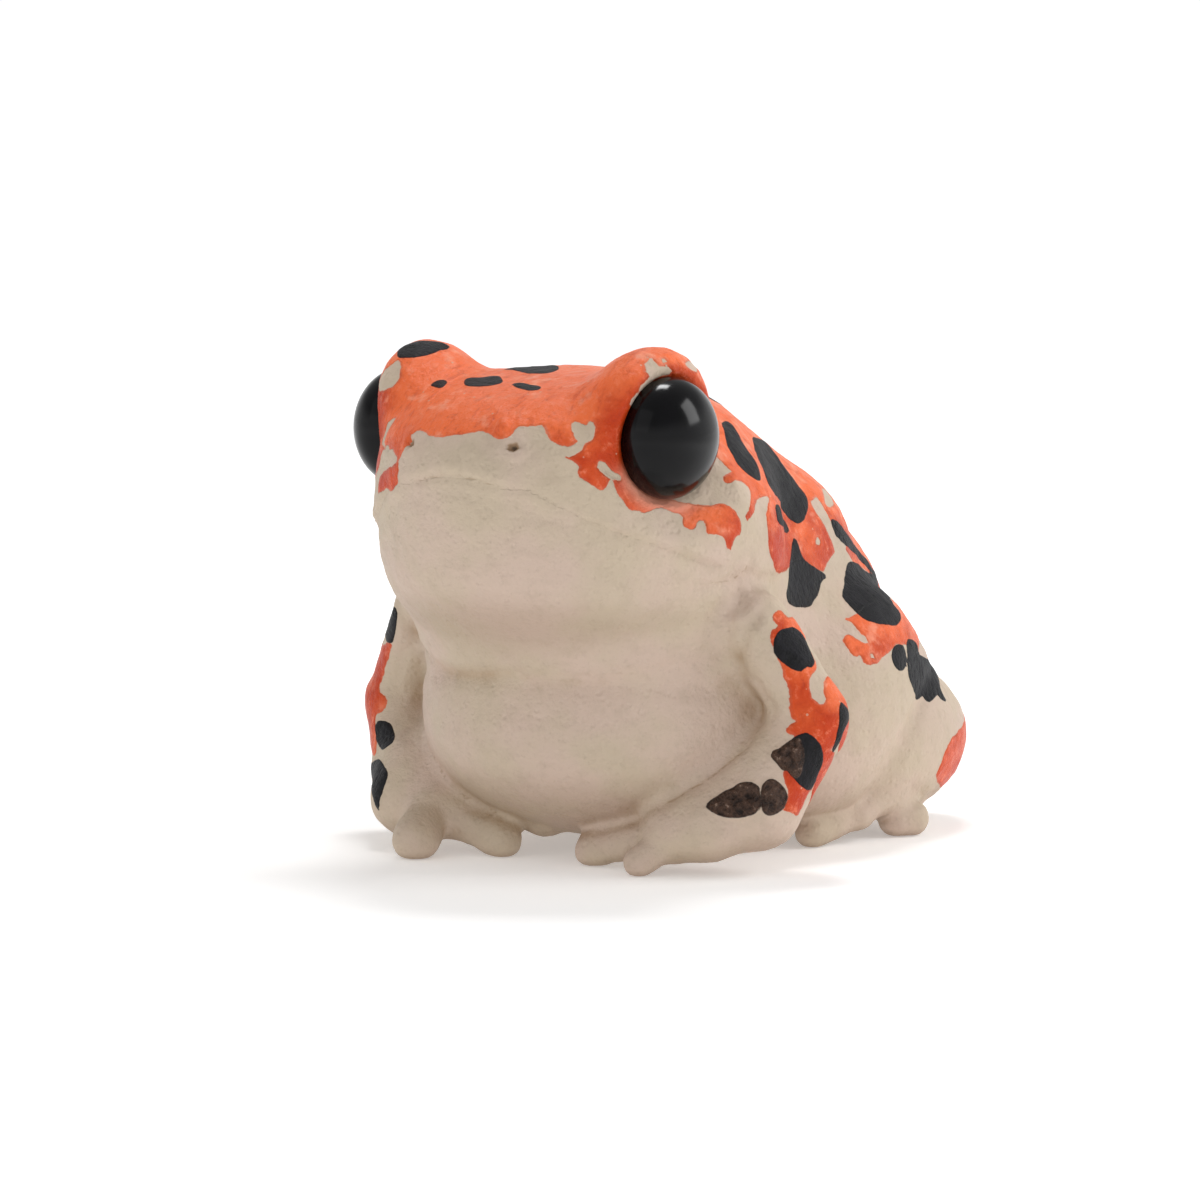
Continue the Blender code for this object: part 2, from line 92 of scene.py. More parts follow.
ORBIT_EDGE = 2.8
LID_RISE = 0.12
LID_PLACE = 0.5
LID_WIDTH = 0.5
LID_OVERLAP = 0.1
LID_EDGE = 0.3
LIP_TIP_Y = -17.8
LIP_TIP_Z = 25.6
LIP_FALL_X = 0.33
LIP_FALL_Y = 0.18
LIP_STEP = 0.3
LIP_WIDTH = 1.2
LIP_BOW = 3.0
BELLY = ((0.0, 4.0, 8.6), (13.2, 15.4, 7.9), 0.0)
CHEST = ((0.0, 2.0, 14.5), (12.4, 12.6, 8.5), 0.0)
BACK = ((0.0, 9.5, 17.8), (11.0, 13.4, 9.9), 20.0)
NAPE = ((0.0, 3.5, 23.2), (9.0, 8.8, 7.0), 0.0)
RUMP = ((0.0, 16.0, 9.6), (10.0, 10.2, 9.7), 0.0)
LOIN = ((0.0, 17.2, 14.4), (9.6, 9.6, 7.8), 0.0)
HUMP = ((5.4, 12.4, 20.3), (4.2, 5.0, 3.6), 0.0)
HAUNCH = ((9.6, 17.4, 10.3), (4.6, 5.0, 3.8), 0.0)
TORSO_FILLETS = ((CHEST, 4.0), (BACK, 3.0), (NAPE, 3.0), (RUMP, 3.0), (LOIN, 3.0), (HUMP, 2.0), (HAUNCH, 2.5))
HEAD_FILLET = 2.0
ARM_FILLET = 1.4
LEG_FILLET = 1.5
FOOT_FILLET = 0.6
THIGH_FILLET = 0.5
LIMB_FILLET = 1.0
BASE_EDGE = 0.25
SHOULDERS = {1: (13.1, -2.2, 15.7), -1: (12.5, -2.0, 15.7)}
ELBOWS = {1: (16.2, -0.4, 10.2), -1: (15.8, -0.5, 9.5)}
ELBOW_DROP = 1.0
ELBOW_INSET = {1: 0.6, -1: 0.1}
HAND_HEELS = {1: (13.5, -2.7, 4.4), -1: (13.1, -2.9, 4.6)}
WRISTS = {1: (11.0, -4.8, 3.1), -1: (11.9, -5.2, 3.2)}
PALMS = {1: (9.1, -5.6, 2.5), -1: (9.3, -6.3, 2.7)}
SHOULDER_RADIUS = 2.3
ELBOW_RADIUS = 2.15
FOREARM_RADIUS = 2.5
HAND_HEEL_RADIUS = 2.65
WRIST_RADII = {1: 2.1, -1: 2.4}
PALM_RADIUS = 1.75
FINGER_TIPS = {
    1: ((7.6, -7.4, 0.9), (2.9, -5.7, 1.0), (2.9, -4.3, 2.5)),
    -1: ((8.5, -9.3, 1.3), (4.2, -5.8, 1.15), (2.1, -3.9, 2.1)),
}
THIRD_ROOTS = {1: (8.2, -4.4, 3.2), -1: (8.8, -4.5, 3.5)}
FINGER_ROOT_RADIUS = 1.5
FINGER_RADII = {1: (0.95, 1.05, 0.65), -1: (1.3, 1.2, 0.65)}
FINGER_PAD = 0.12
FINGER_FILLETS = {1: ((0.5, 0.35), (0.5, 0.35), (0.5, 0.35)), -1: ((1.0, 1.2), (0.6, 0.6), (0.5, 0.4))}
WEB_FILLET = 2.4
# The flesh between each forearm and the belly: its ends and their radii.
WEBS = {
    1: ((12.9, -2.4, 6.2), (8.2, -4.7, 2.9), 1.3, 1.0),
    -1: ((11.3, -4.3, 5.4), (7.2, -5.0, 2.8), 1.6, 1.3),
}
THIGH = ((9.7, 12.0, 9.5), (5.7, 9.2, 7.8), -28.0)
SHANK = ((10.0, 17.6, 6.3), (5.5, 9.5, 5.6), 3.0)
HEEL = (11.6, 18.6, 2.4)
SOLE = (12.6, 14.6, 3.2)
KNUCKLE = (12.3, 12.2, 1.9)
TOE_TIPS = ((10.9, 8.7, 1.0), (13.9, 16.6, 1.15))
HEEL_RADIUS = 1.9
SOLE_RADIUS = 1.6
KNUCKLE_RADIUS = 1.1
TOE_RADII = (1.15, 1.25)
TOE_PAD = (13.3, 15.8, 1.15)
KNEE_CREASE = 0.35
KNEE_WIDTH = 0.5

FLESH = ["head", "torso"] + [
    part + side for part in ("upper_arm_", "forearm_", "hand_", "thigh_", "shank_", "foot_")
    for side in ("left", "right")]

# Heights and widths of paint and grain. MOULD_LUMPS are shares, sizes and seeds of its grain,
# and HOLLOW_REACHES how far out the brown wash and painted shade feel for hollows, with each reach's
# share. NO_PAINT is the distance given where there is no paint, and TURN_LIMIT ends a marking where
# the skin turns away from it.
PAINT_THICKNESS = 0.07
SPOT_THICKNESS = 0.04
ROUGH_THICKNESS = 0.16
PAINT_EDGE = 0.45
MOULD_GRAIN = 0.06
MOULD_LUMPS = ((1.0, 1.1, 3), (0.5, 0.6, 4))
BRUSH_LUMP = 1.6
ROUGH_LUMP = 0.75
WRINKLE_LUMP = 0.75
HOLLOW_REACHES = ((1.0, 0.45), (2.6, 0.6))
HOLLOW_MOST = 2.5
NO_PAINT = 3.0
OUTLINE_DEPTH = 1.0
TURN_LIMIT = 3.0
SPOT_WAVE = 0.17
WRINKLE_SPOT = (733, 602)
WRINKLE_RADII = (2.4, 3.2)
WRINKLE_HEIGHT = 0.2

# Lamps: azimuth, elevation, distance, size and power.
LAMP_AIM = (0.0, 0.0, 14.0)
LAMPS = {
    "top": (-158, 72, 230, (70, 50), 0.22),
    "side": (121, 31, 250, (95, 125), 0.19),
    "front": (-10, 35, 320, (260, 220), 0.06),
}
SKY_FADE = (0.14, 0.5)
HORIZON_LIGHT = 1.02
SKY_LIGHT = 0.4
# The floor's own glow, near and far, and over what reach it ramps: painted light that lifts its shadows and
# whitens it towards the horizon.
FLOOR_GLOW = (0.27, 0.66)
GLOW_REACH = (30.0, 260.0)
FLOOR_REACH = 6000.0

# Colours, as screen values of 0 to 255 a channel. The washes, brown wash that is also painted shade,
# are laid on as the hollows deepen: from and to what depth, share and colour.
CREAM, PINK_CREAM, DUSTY_CREAM = (197, 180, 158), (203, 181, 165), (176, 158, 138)
# The second of these browns is painted shade for the undersides.
PORE_BROWN, UNDER_SHADE_BROWN = (160, 142, 124), (140, 114, 90)
WASH_AND_SHADE_LAYERS = ((0.4, 1.1, 0.6, (158, 126, 92)), (0.85, 1.5, 0.6, (130, 98, 66)), (1.7, 2.3, 0.8, (60, 48, 38)))
# The brightest of these oranges is painted highlight on the tops, where the light falls.
DEEP_ORANGE, ORANGE, LIT_TOP_ORANGE = (190, 54, 10), (212, 78, 28), (250, 122, 70)
PALE_ORANGE, THIN_ORANGE = (250, 150, 116), (206, 106, 76)
RUST, DARK_RUST = (178, 50, 12), (168, 54, 24)
# The first two pinks here are painted highlights: along the lid below each eye, and on the upward faces of
# the orange.
RIM_HIGHLIGHT_PINK, HIGHLIGHT_PINK, SPECK = (252, 176, 150), (250, 172, 142), (214, 176, 150)
BLACK, SOFT_BLACK = (8, 8, 10), (26, 25, 30)
# The last of these is a painted highlight on the tops of the rough spots' lumps.
DARK_BROWN, BROWN, LUMP_HIGHLIGHT = (30, 18, 13), (84, 62, 50), (168, 142, 126)
EYE_BLACK, EYE_CLOUD = (4, 4, 6), (9, 8, 11)
BODY_GLINT, EYE_GLINT, FLOOR_GLINT = 0.22, 0.2, 0.1

# Fineness of the skin's mesh, and the rings and segments of an eye's.
EYE_MESH = (48, 96)
ROUGH_VOXEL = 0.6
FINE_VOXEL = 0.275

# Paint outlines, as pixels of the photo, or as points in the frog's frame where the photo
# doesn't show that side. Cream ones are holes in the orange.
ORANGE_OUTLINES = {
    "head_front": (
        (417, 428), (425, 431), (432, 436), (444, 437), (455, 436), (465, 434), (480, 431), (490, 434),
        (496, 439), (503, 440), (510, 437), (515, 430), (520, 427), (531, 427), (543, 426), (546, 433),
        (550, 440), (556, 444), (568, 447), (577, 443), (582, 440), (592, 452), (606, 454), (616, 434),
        (619, 412), (629, 396), (640, 387), (654, 381), (668, 374), (668, 362), (650, 352), (600, 350),
        (500, 347), (430, 347),
        (402, 354), (401, 380), (401, 400), (403, 420)),
    "left_cheek": (
        (562, 456), (572, 460), (580, 466), (578, 470), (579, 476), (588, 483), (598, 488), (604, 490),
        (611, 480), (615, 490), (622, 498), (628, 509), (645, 512), (659, 508), (668, 511), (681, 516),
        (683, 525), (688, 529), (694, 528), (697, 522), (703, 522), (706, 533), (710, 536), (716, 534),
        (724, 538), (727, 546), (730, 552), (735, 537), (740, 533), (740, 524), (737, 514), (725, 505),
        (716, 504), (700, 505), (684, 503), (668, 498), (650, 487), (636, 472), (627, 455), (624, 435),
        (627, 412), (622, 398), (600, 404), (586, 430), (584, 444), (579, 453)),
    "right_strip": (
        (401, 404), (399, 417), (395, 430), (393, 448), (397, 462), (381, 476), (379, 494), (385, 488),
        (389, 492), (394, 488), (399, 474), (400, 460), (411, 441), (417, 428), (428, 424), (425, 404)),
    "right_lump": ((383, 392), (393, 391), (402, 398), (403, 417), (390, 416), (384, 405)),
    "flank": (
        (720, 425), (723, 435), (728, 450), (735, 462), (740, 470), (726, 474), (722, 480), (728, 484),
        (738, 480), (749, 489), (750, 497), (746, 515), (749, 519), (757, 500), (768, 497), (766, 515),
        (768, 540), (771, 558), (776, 573), (786, 570), (793, 562), (805, 562), (822, 572), (828, 560),
        (836, 548), (832, 535), (822, 515), (812, 503), (817, 498), (824, 510), (833, 526), (843, 541),
        (856, 560), (875, 580), (895, 608), (910, 640), (918, 640), (8.5, 20.0, 17.6), (7.0, 14.0, 22.2),
        (6.0, 10.0, 25.4), (6.0, 5.0, 27.4)),
    "hump_band": (
        (845, 545), (850, 560), (866, 571), (880, 584), (891, 600), (900, 614), (899, 626), (912, 650),
        (919, 646), (8.5, 22.0, 15.6), (7.0, 17.0, 20.0)),
    "below_f": (
        (843, 619), (850, 617), (857, 613), (868, 604), (884, 600), (898, 603), (908, 612), (917, 640),
        (905, 645), (895, 645), (889, 652), (885, 655), (878, 662), (870, 666), (862, 662), (860, 655),
        (855, 657), (849, 651), (843, 643), (844, 637), (848, 634), (858, 640), (868, 643), (858, 630),
        (850, 623)),
    "rear": (
        (962, 726), (958, 731), (952, 738), (946, 748), (942, 758), (938, 768), (936, 778), (940, 786),
        (945, 788), (955, 781), (13.4, 24.4, 4.0), (13.2, 24.8, 7.2)),
    "left_arm": (
        (774, 612), (781, 611), (786, 618), (791, 617), (798, 626), (805, 640), (812, 655), (816, 668),
        (811, 676), (810, 688), (813, 698), (820, 704), (826, 700), (823, 688), (825, 677), (830, 684),
        (843, 700), (845, 715), (838, 738), (830, 752), (818, 776), (805, 800), (797, 816), (791, 812),
        (781, 809), (787, 800), (786, 788), (783, 775), (790, 752), (795, 738), (788, 734), (787, 727),
        (797, 722), (790, 714), (790, 697), (785, 680), (780, 664), (772, 645), (770, 632), (777, 626),
        (773, 619)),
    "right_arm": (
        (381, 640), (391, 643), (389, 655), (380, 685), (388, 700), (382, 712), (376, 720), (375, 757),
        (-17.4, -1.0, 6.6), (-18.0, 1.2, 8.4), (-16.6, 1.8, 12.0), (-14.6, 1.0, 16.0),
        (-14.2, -2.0, 17.6)),
    "eye_rim": ((608, 392), (620, 384), (633, 386), (636, 394), (630, 404), (626, 418), (608, 416)),
}
MIRRORED_ORANGE = ("left_cheek", "flank", "below_f")
CREAM_OUTLINES = {
    "snout_hole": (
        (572, 428), (574, 423), (580, 423), (586, 425), (592, 421), (595, 431), (591, 440), (585, 442),
        (577, 440), (573, 434)),
    "cheek_inlet": ((560, 447), (570, 449), (583, 443), (580, 451), (574, 456), (562, 456), (554, 452)),
    "cheek_slit": (
        (597, 467), (600, 461), (607, 466), (612, 471), (618, 474), (622, 478), (618, 480), (611, 478),
        (604, 474)),
    "brow_patch": (
        (646, 362), (650, 358), (658, 366), (668, 367), (672, 373), (669, 375), (660, 377), (651, 382),
        (645, 387), (640, 391), (638, 389), (644, 382), (649, 376), (645, 371)),
    "brow_fleck": ((684, 363), (690, 361), (694, 366), (696, 370), (692, 371), (688, 368)),
    "right_brow": ((374, 368), (392, 366), (400, 360), (400, 376), (391, 388), (381, 391), (373, 385)),
    "right_front": (
        (400, 476), (402, 462), (412, 443), (419, 431), (428, 438), (432, 470), (430, 520), (378, 520),
        (379, 499), (389, 495), (395, 489)),
    "arm_gap": ((813, 675), (810, 688), (813, 698), (820, 704), (826, 700), (822, 688), (818, 677)),
    "behind_eye": (
        (683, 501), (700, 490), (715, 478), (727, 485), (740, 481), (748, 489), (749, 499), (744, 518),
        (741, 530), (738, 514), (726, 504), (716, 502)),
    "flank_wedge": (
        (811, 503), (815, 501), (820, 508), (829, 524), (838, 540), (846, 552), (853, 563), (846, 575),
        (839, 568), (836, 557), (833, 545), (826, 530), (818, 516)),
    "inner_elbow": ((750, 688), (768, 694), (774, 712), (764, 732), (748, 722), (744, 702)),
    "flank_fleck": ((822, 489), (827, 487), (832, 493), (833, 503), (829, 507), (824, 501)),
}
# Pale dots where the orange is left off, as bare cream that also stands for small glints: pixel and radius in
# mm.
PALE_DOTS = (((817, 542), 0.28), ((872, 656), 0.16), ((664, 361), 0.2))
# Drops of paint: pixel, radii and height in mm.
DROPLETS = (
    ((503, 427), (0.78, 0.66), 0.42), ((574, 447), (0.45, 0.4), 0.16), ((731, 480), (0.6, 0.32), 0.16))
BLACK_OUTLINES = {
    "head_far": (
        (398, 353), (400, 359), (413, 359), (427, 356), (437, 353), (449, 349), (445, 345), (430, 342),
        (404, 346)),
    "head_small": ((431, 386), (436, 382), (445, 381), (447, 385), (442, 389), (435, 388)),
    "head_middle": (
        (464, 384), (468, 379), (482, 378), (498, 377), (503, 383), (497, 386), (482, 388), (468, 387)),
    "head_upper": (
        (504, 371), (517, 367), (535, 366), (553, 366), (559, 370), (550, 374), (532, 375), (515, 372)),
    "head_lower": ((512, 385), (521, 384), (530, 385), (541, 388), (537, 392), (526, 391), (515, 388)),
    "a": (
        (721, 424), (729, 423), (740, 439), (750, 455), (758, 470), (760, 481), (752, 478), (738, 466),
        (728, 450), (724, 435)),
    "b": (
        (752, 438), (762, 441), (774, 454), (785, 470), (795, 482), (805, 495), (807, 508), (803, 520),
        (797, 524), (790, 521), (780, 507), (772, 492), (764, 475), (758, 461), (754, 448)),
    "c": ((775, 505), (779, 508), (784, 522), (787, 533), (780, 526), (775, 514)),
    "d": (
        (793, 538), (797, 545), (800, 553), (804, 560), (815, 568), (827, 576), (821, 582), (819, 592),
        (813, 602), (808, 607), (795, 607), (787, 602), (786, 592), (788, 580), (789, 566), (790, 552)),
    "e": (
        (830, 520), (838, 523), (846, 535), (856, 549), (871, 568), (881, 580), (868, 570), (855, 556),
        (843, 544), (835, 534)),
    "f": (
        (848, 563), (855, 563), (865, 571), (878, 583), (890, 600), (899, 613), (899, 622), (893, 626),
        (875, 624), (860, 617), (850, 606), (842, 597), (843, 588), (845, 575)),
    "g": (
        (892, 650), (896, 645), (901, 645), (904, 648), (906, 655), (906, 665), (902, 671), (896, 669),
        (892, 660)),
    "h": (
        (906, 641), (911, 640), (916, 645), (920, 655), (930, 664), (937, 673), (940, 688), (946, 701),
        (941, 700), (937, 695), (932, 701), (927, 702), (922, 696), (916, 700), (913, 690), (908, 674),
        (907, 655)),
    "arm": (
        (773, 645), (775, 636), (780, 630), (787, 628), (794, 628), (803, 637), (809, 650), (814, 662),
        (810, 668), (805, 667), (800, 672), (790, 668), (780, 660), (774, 653)),
    "arm_side": (
        (840, 702), (845, 707), (848, 715), (844, 728), (840, 740), (834, 752), (832, 750), (835, 738),
        (838, 722), (838, 710)),
    "elbow": (
        (790, 741), (800, 734), (808, 733), (817, 740), (822, 750), (822, 761), (817, 775), (811, 789),
        (803, 788), (795, 780), (788, 772), (785, 765), (787, 752)),
    "wrist_long": (
        (706, 808), (710, 801), (716, 797), (724, 792), (732, 788), (740, 783), (750, 782), (757, 785),
        (760, 792), (760, 806), (756, 813), (748, 816), (735, 818), (720, 816)),
    "wrist_round": (
        (761, 790), (763, 784), (768, 780), (774, 779), (780, 783), (786, 791), (787, 798), (783, 808),
        (776, 814), (766, 815), (761, 807)),
    "elbow_rough": (
        (771, 757), (773, 751), (780, 748), (788, 742), (800, 738), (804, 755), (800, 775), (792, 778),
        (788, 771), (782, 770), (776, 763)),
    "right_upper": ((385, 630), (394, 607), (397, 615), (395, 635), (392, 643), (386, 640)),
    "right_elbow": (
        (376, 725), (380, 721), (388, 722), (394, 730), (395, 740), (390, 746), (382, 750), (377, 740)),
    "right_fore": (
        (371, 770), (378, 759), (385, 767), (388, 775), (384, 788), (380, 800), (380, 812), (372, 790)),
}
ROUGH_OUTLINES = ("wrist_long", "wrist_round", "elbow_rough")
# Marks on the sides that the photo doesn't show: place, radii and turn in degrees.
HIDDEN_SPOTS = (
    ((-9.0, -0.8, 27.5), (2.7, 0.9), 35),
    ((-4.2, 3.0, 28.8), (2.3, 1.3), 70),
    ((3.6, 5.8, 28.0), (1.3, 2.2), 20),
    ((-8.2, 6.4, 25.0), (1.2, 2.9), 15),
    ((-0.6, 10.4, 26.6), (1.7, 2.3), -25),
    ((-7.2, 12.2, 23.8), (2.3, 1.5), 60),
    ((-12.2, 3.2, 20.6), (1.1, 2.1), -10),
    ((-12.6, 8.8, 17.4), (2.4, 2.9), 30),
    ((2.4, 16.2, 22.6), (1.5, 2.6), 40),
    ((-4.6, 18.4, 20.2), (2.3, 1.5), -35),
    ((-11.0, 14.6, 17.2), (1.0, 1.9), 15),
    ((-10.2, 19.2, 14.6), (2.0, 2.6), -20),
    ((3.6, 22.6, 15.2), (2.2, 1.3), 20),
    ((-3.2, 23.4, 12.4), (1.6, 2.3), 5),
    ((-13.6, 13.0, 12.2), (0.9, 1.3), 0),
    ((-14.8, 19.6, 8.8), (1.3, 1.9), 25),
    ((5.6, 24.2, 9.0), (1.2, 1.8), -15),
    ((-12.4, -4.2, 25.2), (0.8, 1.5), 60),
    ((-17.3, 0.4, 10.8), (1.2, 2.1), 5),
    ((-16.4, 0.2, 14.6), (0.9, 1.4), 30),
    ((-16.4, -0.4, 6.2), (1.0, 1.5), -20),
    ((-8.0, 24.0, 6.6), (1.1, 1.4), 30),
)
HIDDEN_ORANGE = (
    ((-9.6, 23.4, 5.6), (1.5, 2.9), 20),
    ((0.8, 25.0, 6.2), (2.2, 1.5), 70),
    ((-14.8, 16.0, 9.4), (1.5, 1.0), 40),
    ((9.0, 24.2, 8.8), (1.2, 1.9), -30),
    ((-14.3, -1.4, 16.9), (0.5, 0.8), 10),
    ((18.1, 0.3, 10.2), (1.5, 2.6), 0),
    ((16.2, -0.7, 6.4), (1.2, 2.4), 0),
)
# Where the orange of the back ends, as (y, z): FAR_EDGE on the right side, which the photo
# hides, with FAR_LOBES along it (height, how often and start), and NEAR_EDGE on the left.
FAR_EDGE = (
    (-17, 29.5), (-12, 27.2), (-8, 27.0), (-4, 25.5), (0, 22.0), (4, 19.0), (8, 16.6), (12, 15.4),
    (16, 13.8), (20, 12.4), (25, 10.0))
FAR_LOBES = ((1.1, 0.95, 0.7), (0.55, 2.3, 2.1), (0.3, 4.9, 0.4))
NEAR_EDGE = (
    (-17, 31.0), (-8, 31.0), (-5, 28.4), (-3, 25.6), (1, 24.8), (5, 24.6), (8, 24.4), (11, 23.8),
    (14, 21.8), (17, 19.2), (21, 16.4), (25, 12.0))
# Paint of an arm, kept off the body behind it: the arm's place in PART_NAMES.
ARM_PAINT = {
    "left_arm": 2, "arm_side": 2, "elbow": 2, "arm": 2, "right_arm": 3, "right_upper": 3, "right_elbow": 3}
# Folds: height in mm (negative sinks in), half width in mm and the line's pixels. Lone ones
# are on one side only, and brown wash runs along the crisp ones as painted shade.
FOLDS = {
    "mouth": (-0.16, 0.3, (
        (410, 483), (430, 478), (457, 476), (480, 483), (503, 489), (530, 491), (547, 500), (562, 508),
        (590, 522), (623, 536), (657, 546), (697, 562), (720, 572))),
    "lower_lip": (0.09, 0.4, ((573, 540), (598, 551), (623, 563), (643, 577))),
    "upper_lip": (0.07, 0.35, ((590, 517), (623, 531), (657, 541), (697, 556))),
    "jaw_corner": (-0.16, 0.4, (
        (753, 547), (752, 560), (747, 570), (737, 579), (723, 583), (705, 586), (690, 587))),
    "throat": (-0.2, 0.7, (
        (407, 613), (413, 634), (423, 653), (440, 672), (470, 678), (510, 677), (560, 684), (600, 687),
        (650, 688), (703, 688), (735, 690))),
    "throat_end": (-0.2, 0.5, ((407, 613), (413, 634), (423, 653), (440, 672), (470, 678), (500, 677))),
    "left_forearm": (-0.1, 0.4, ((760, 732), (745, 748), (722, 767), (700, 783), (672, 800), (640, 813))),
    "right_forearm": (-0.1, 0.4, (
        (423, 690), (423, 725), (430, 752), (443, 775), (462, 796), (492, 811), (520, 818))),
    "throat_line": (-0.07, 0.35, ((447, 613), (475, 625), (503, 633), (550, 638))),
    "chin": (-0.06, 0.3, ((423, 523), (436, 525), (450, 525))),
    "armpit": (-0.16, 0.4, (
        (762, 607), (752, 622), (745, 640), (738, 662), (745, 672), (755, 680), (766, 698), (778, 718))),
}
LONE_FOLDS = ("throat_line", "throat_end", "chin", "left_forearm", "right_forearm")
FOLD_RUN_OUT = 1.5
CRISP_FOLDS = ("mouth", "jaw_corner", "left_forearm", "right_forearm")
NOSTRILS = (((513, 447), (0.26, 0.34)), ((411, 443), (0.2, 0.3)))
NOSTRIL_DEPTH = 0.34


class Ball:
    """An ellipsoid, its front end raised by tilt degrees."""

    def __init__(self, centre, radii, tilt=0.0):
        self.centre = Vector(centre)
        self.radii = Vector(radii)
        self.turn = Matrix.Rotation(-math.radians(tilt), 4, "X")

    def distance(self, points):
        local = (points - np.array(self.centre)) @ np.array(self.turn.to_3x3())
        radii = np.array(self.radii)
        near = np.linalg.norm(local / radii, axis=1)
        slope = np.linalg.norm(local / radii**2, axis=1)
        return near * (near - 1.0) / np.maximum(slope, 1e-6)

    def rough_out(self, mesh):
        size = Matrix.Diagonal(self.radii).to_4x4()
        place = Matrix.Scale(MM, 4) @ Matrix.Translation(self.centre) @ self.turn @ size
        bmesh.ops.create_icosphere(mesh, subdivisions=3, radius=1.0, matrix=place)


class Limb:
    """A round rod with domed ends, from one joint to the next."""

    def __init__(self, start, end, start_radius, end_radius):
        self.ends = (Vector(start), Vector(end))
        self.radii = (start_radius, end_radius)

    def distance(self, points):
        start, end = (np.array(end) for end in self.ends)
        axis = end - start
        along = np.clip((points - start) @ axis / (axis @ axis), 0.0, 1.0)
        radius = self.radii[0] + (self.radii[1] - self.radii[0]) * along
        return np.linalg.norm(points - start - along[:, None] * axis, axis=1) - radius

    def rough_out(self, mesh):
        start, end = self.ends
        axis = end - start
        turn = axis.to_track_quat("Z", "Y").to_matrix().to_4x4()
        for centre, radius in zip(self.ends, self.radii):
            place = Matrix.Scale(MM, 4) @ Matrix.Translation(centre)
            bmesh.ops.create_icosphere(mesh, subdivisions=2, radius=radius, matrix=place)
        place = Matrix.Scale(MM, 4) @ Matrix.Translation((start + end) / 2) @ turn
        bmesh.ops.create_cone(
            mesh, cap_ends=True, segments=16, depth=axis.length,
            radius1=self.radii[0], radius2=self.radii[1], matrix=place)


def fuse(first, second, reach):
    """The union of two fields, with a fillet about reach wide."""
    overlap = np.maximum(reach - np.abs(first - second), 0.0) / reach
    return np.minimum(first, second) - overlap**2 * reach / 4.0


def trim(first, second, reach):
    """What two fields share, with its edge rounded over reach."""
    overlap = np.maximum(reach - np.abs(first - second), 0.0) / reach
    return np.maximum(first, second) + overlap**2 * reach / 4.0


def eased(value):
    """A smooth step from 0 to 1."""
    part = np.clip(value, 0.0, 1.0)
    return part**2 * (3 - 2 * part)


def bump_at(value, width):
    """A smooth bump, 1 high at 0."""
    return np.exp(-((value / width) ** 2))


def folded(points):
    """Points with their right half laid on the left."""
    return np.column_stack([np.abs(points[:, 0]), points[:, 1], points[:, 2]])


def level_size(height, column):
    """One column of the head's levels at any height, on a smooth curve."""
    levels = np.array(HEAD_LEVELS)
    heights, values = levels[:, 0], levels[:, column]
    slopes = np.gradient(values, heights)
    low = np.clip(np.searchsorted(heights, height) - 1, 0, len(heights) - 2)
    step = heights[low + 1] - heights[low]
    part = np.clip((height - heights[low]) / step, 0.0, 1.0)
    start = (1 + 2 * part) * (1 - part) ** 2 * values[low] + part * (1 - part) ** 2 * step * slopes[low]
    end = part**2 * (3 - 2 * part) * values[low + 1] + part**2 * (part - 1) * step * slopes[low + 1]
    return start + end


def lip_height(points):
    across = np.sqrt(points[:, 0] ** 2 + LIP_BOW**2) - LIP_BOW
    return LIP_TIP_Z - LIP_FALL_X * across - LIP_FALL_Y * (points[:, 1] - LIP_TIP_Y)


def eye_distance(points):
    return Ball(EYE_CENTRE, EYE_RADII).distance(folded(points))


def head_field(points):
    half = folded(points)
    width, length, middle = (level_size(half[:, 2], column) for column in (1, 2, 3))
    forward = half[:, 1] - middle
    length = np.where(forward > 0.0, length * HEAD_BACK_SHARE, length)
    near = np.hypot(half[:, 0] / width, forward / length)
    slope = np.hypot(half[:, 0] / width**2, forward / length**2)
    side = near * (near - 1.0) / np.maximum(slope, 1e-6)
    over_lip = half[:, 2] - lip_height(half)
    side = side + LIP_STEP * eased(0.5 - over_lip / LIP_WIDTH)
    sides_fall = SNOUT_ROUND + (NAPE_ROUND - SNOUT_ROUND) * eased(
        1.0 + (half[:, 1] - NAPE_ROUND_Y) / NAPE_ROUND_SPAN)
    roof = HEAD_TOP - HEAD_TOP_FALL * (half[:, 1] - HEAD_TOP_Y) ** 2 - sides_fall * half[:, 0] ** 2
    field = trim(side, half[:, 2] - roof, HEAD_EDGE)
    field = trim(field, THROAT_BOTTOM - half[:, 2], HEAD_EDGE)
    field = fuse(field, Ball(BROW_CENTRE, BROW_RADII).distance(half), BROW_FILLET)
    field = trim(field, -Ball(ORBIT_CENTRE, ORBIT_RADII).distance(half), ORBIT_EDGE)
    return field


def torso_field(points):
    half = folded(points)
    field = Ball(*BELLY).distance(half)
    for mass, reach in TORSO_FILLETS:
        field = fuse(field, Ball(*mass).distance(half), reach)
    return field


def sided(point, side):
    """A point of the left side, or its like on the right where side is -1."""
    return (point[0] * side, point[1], point[2])


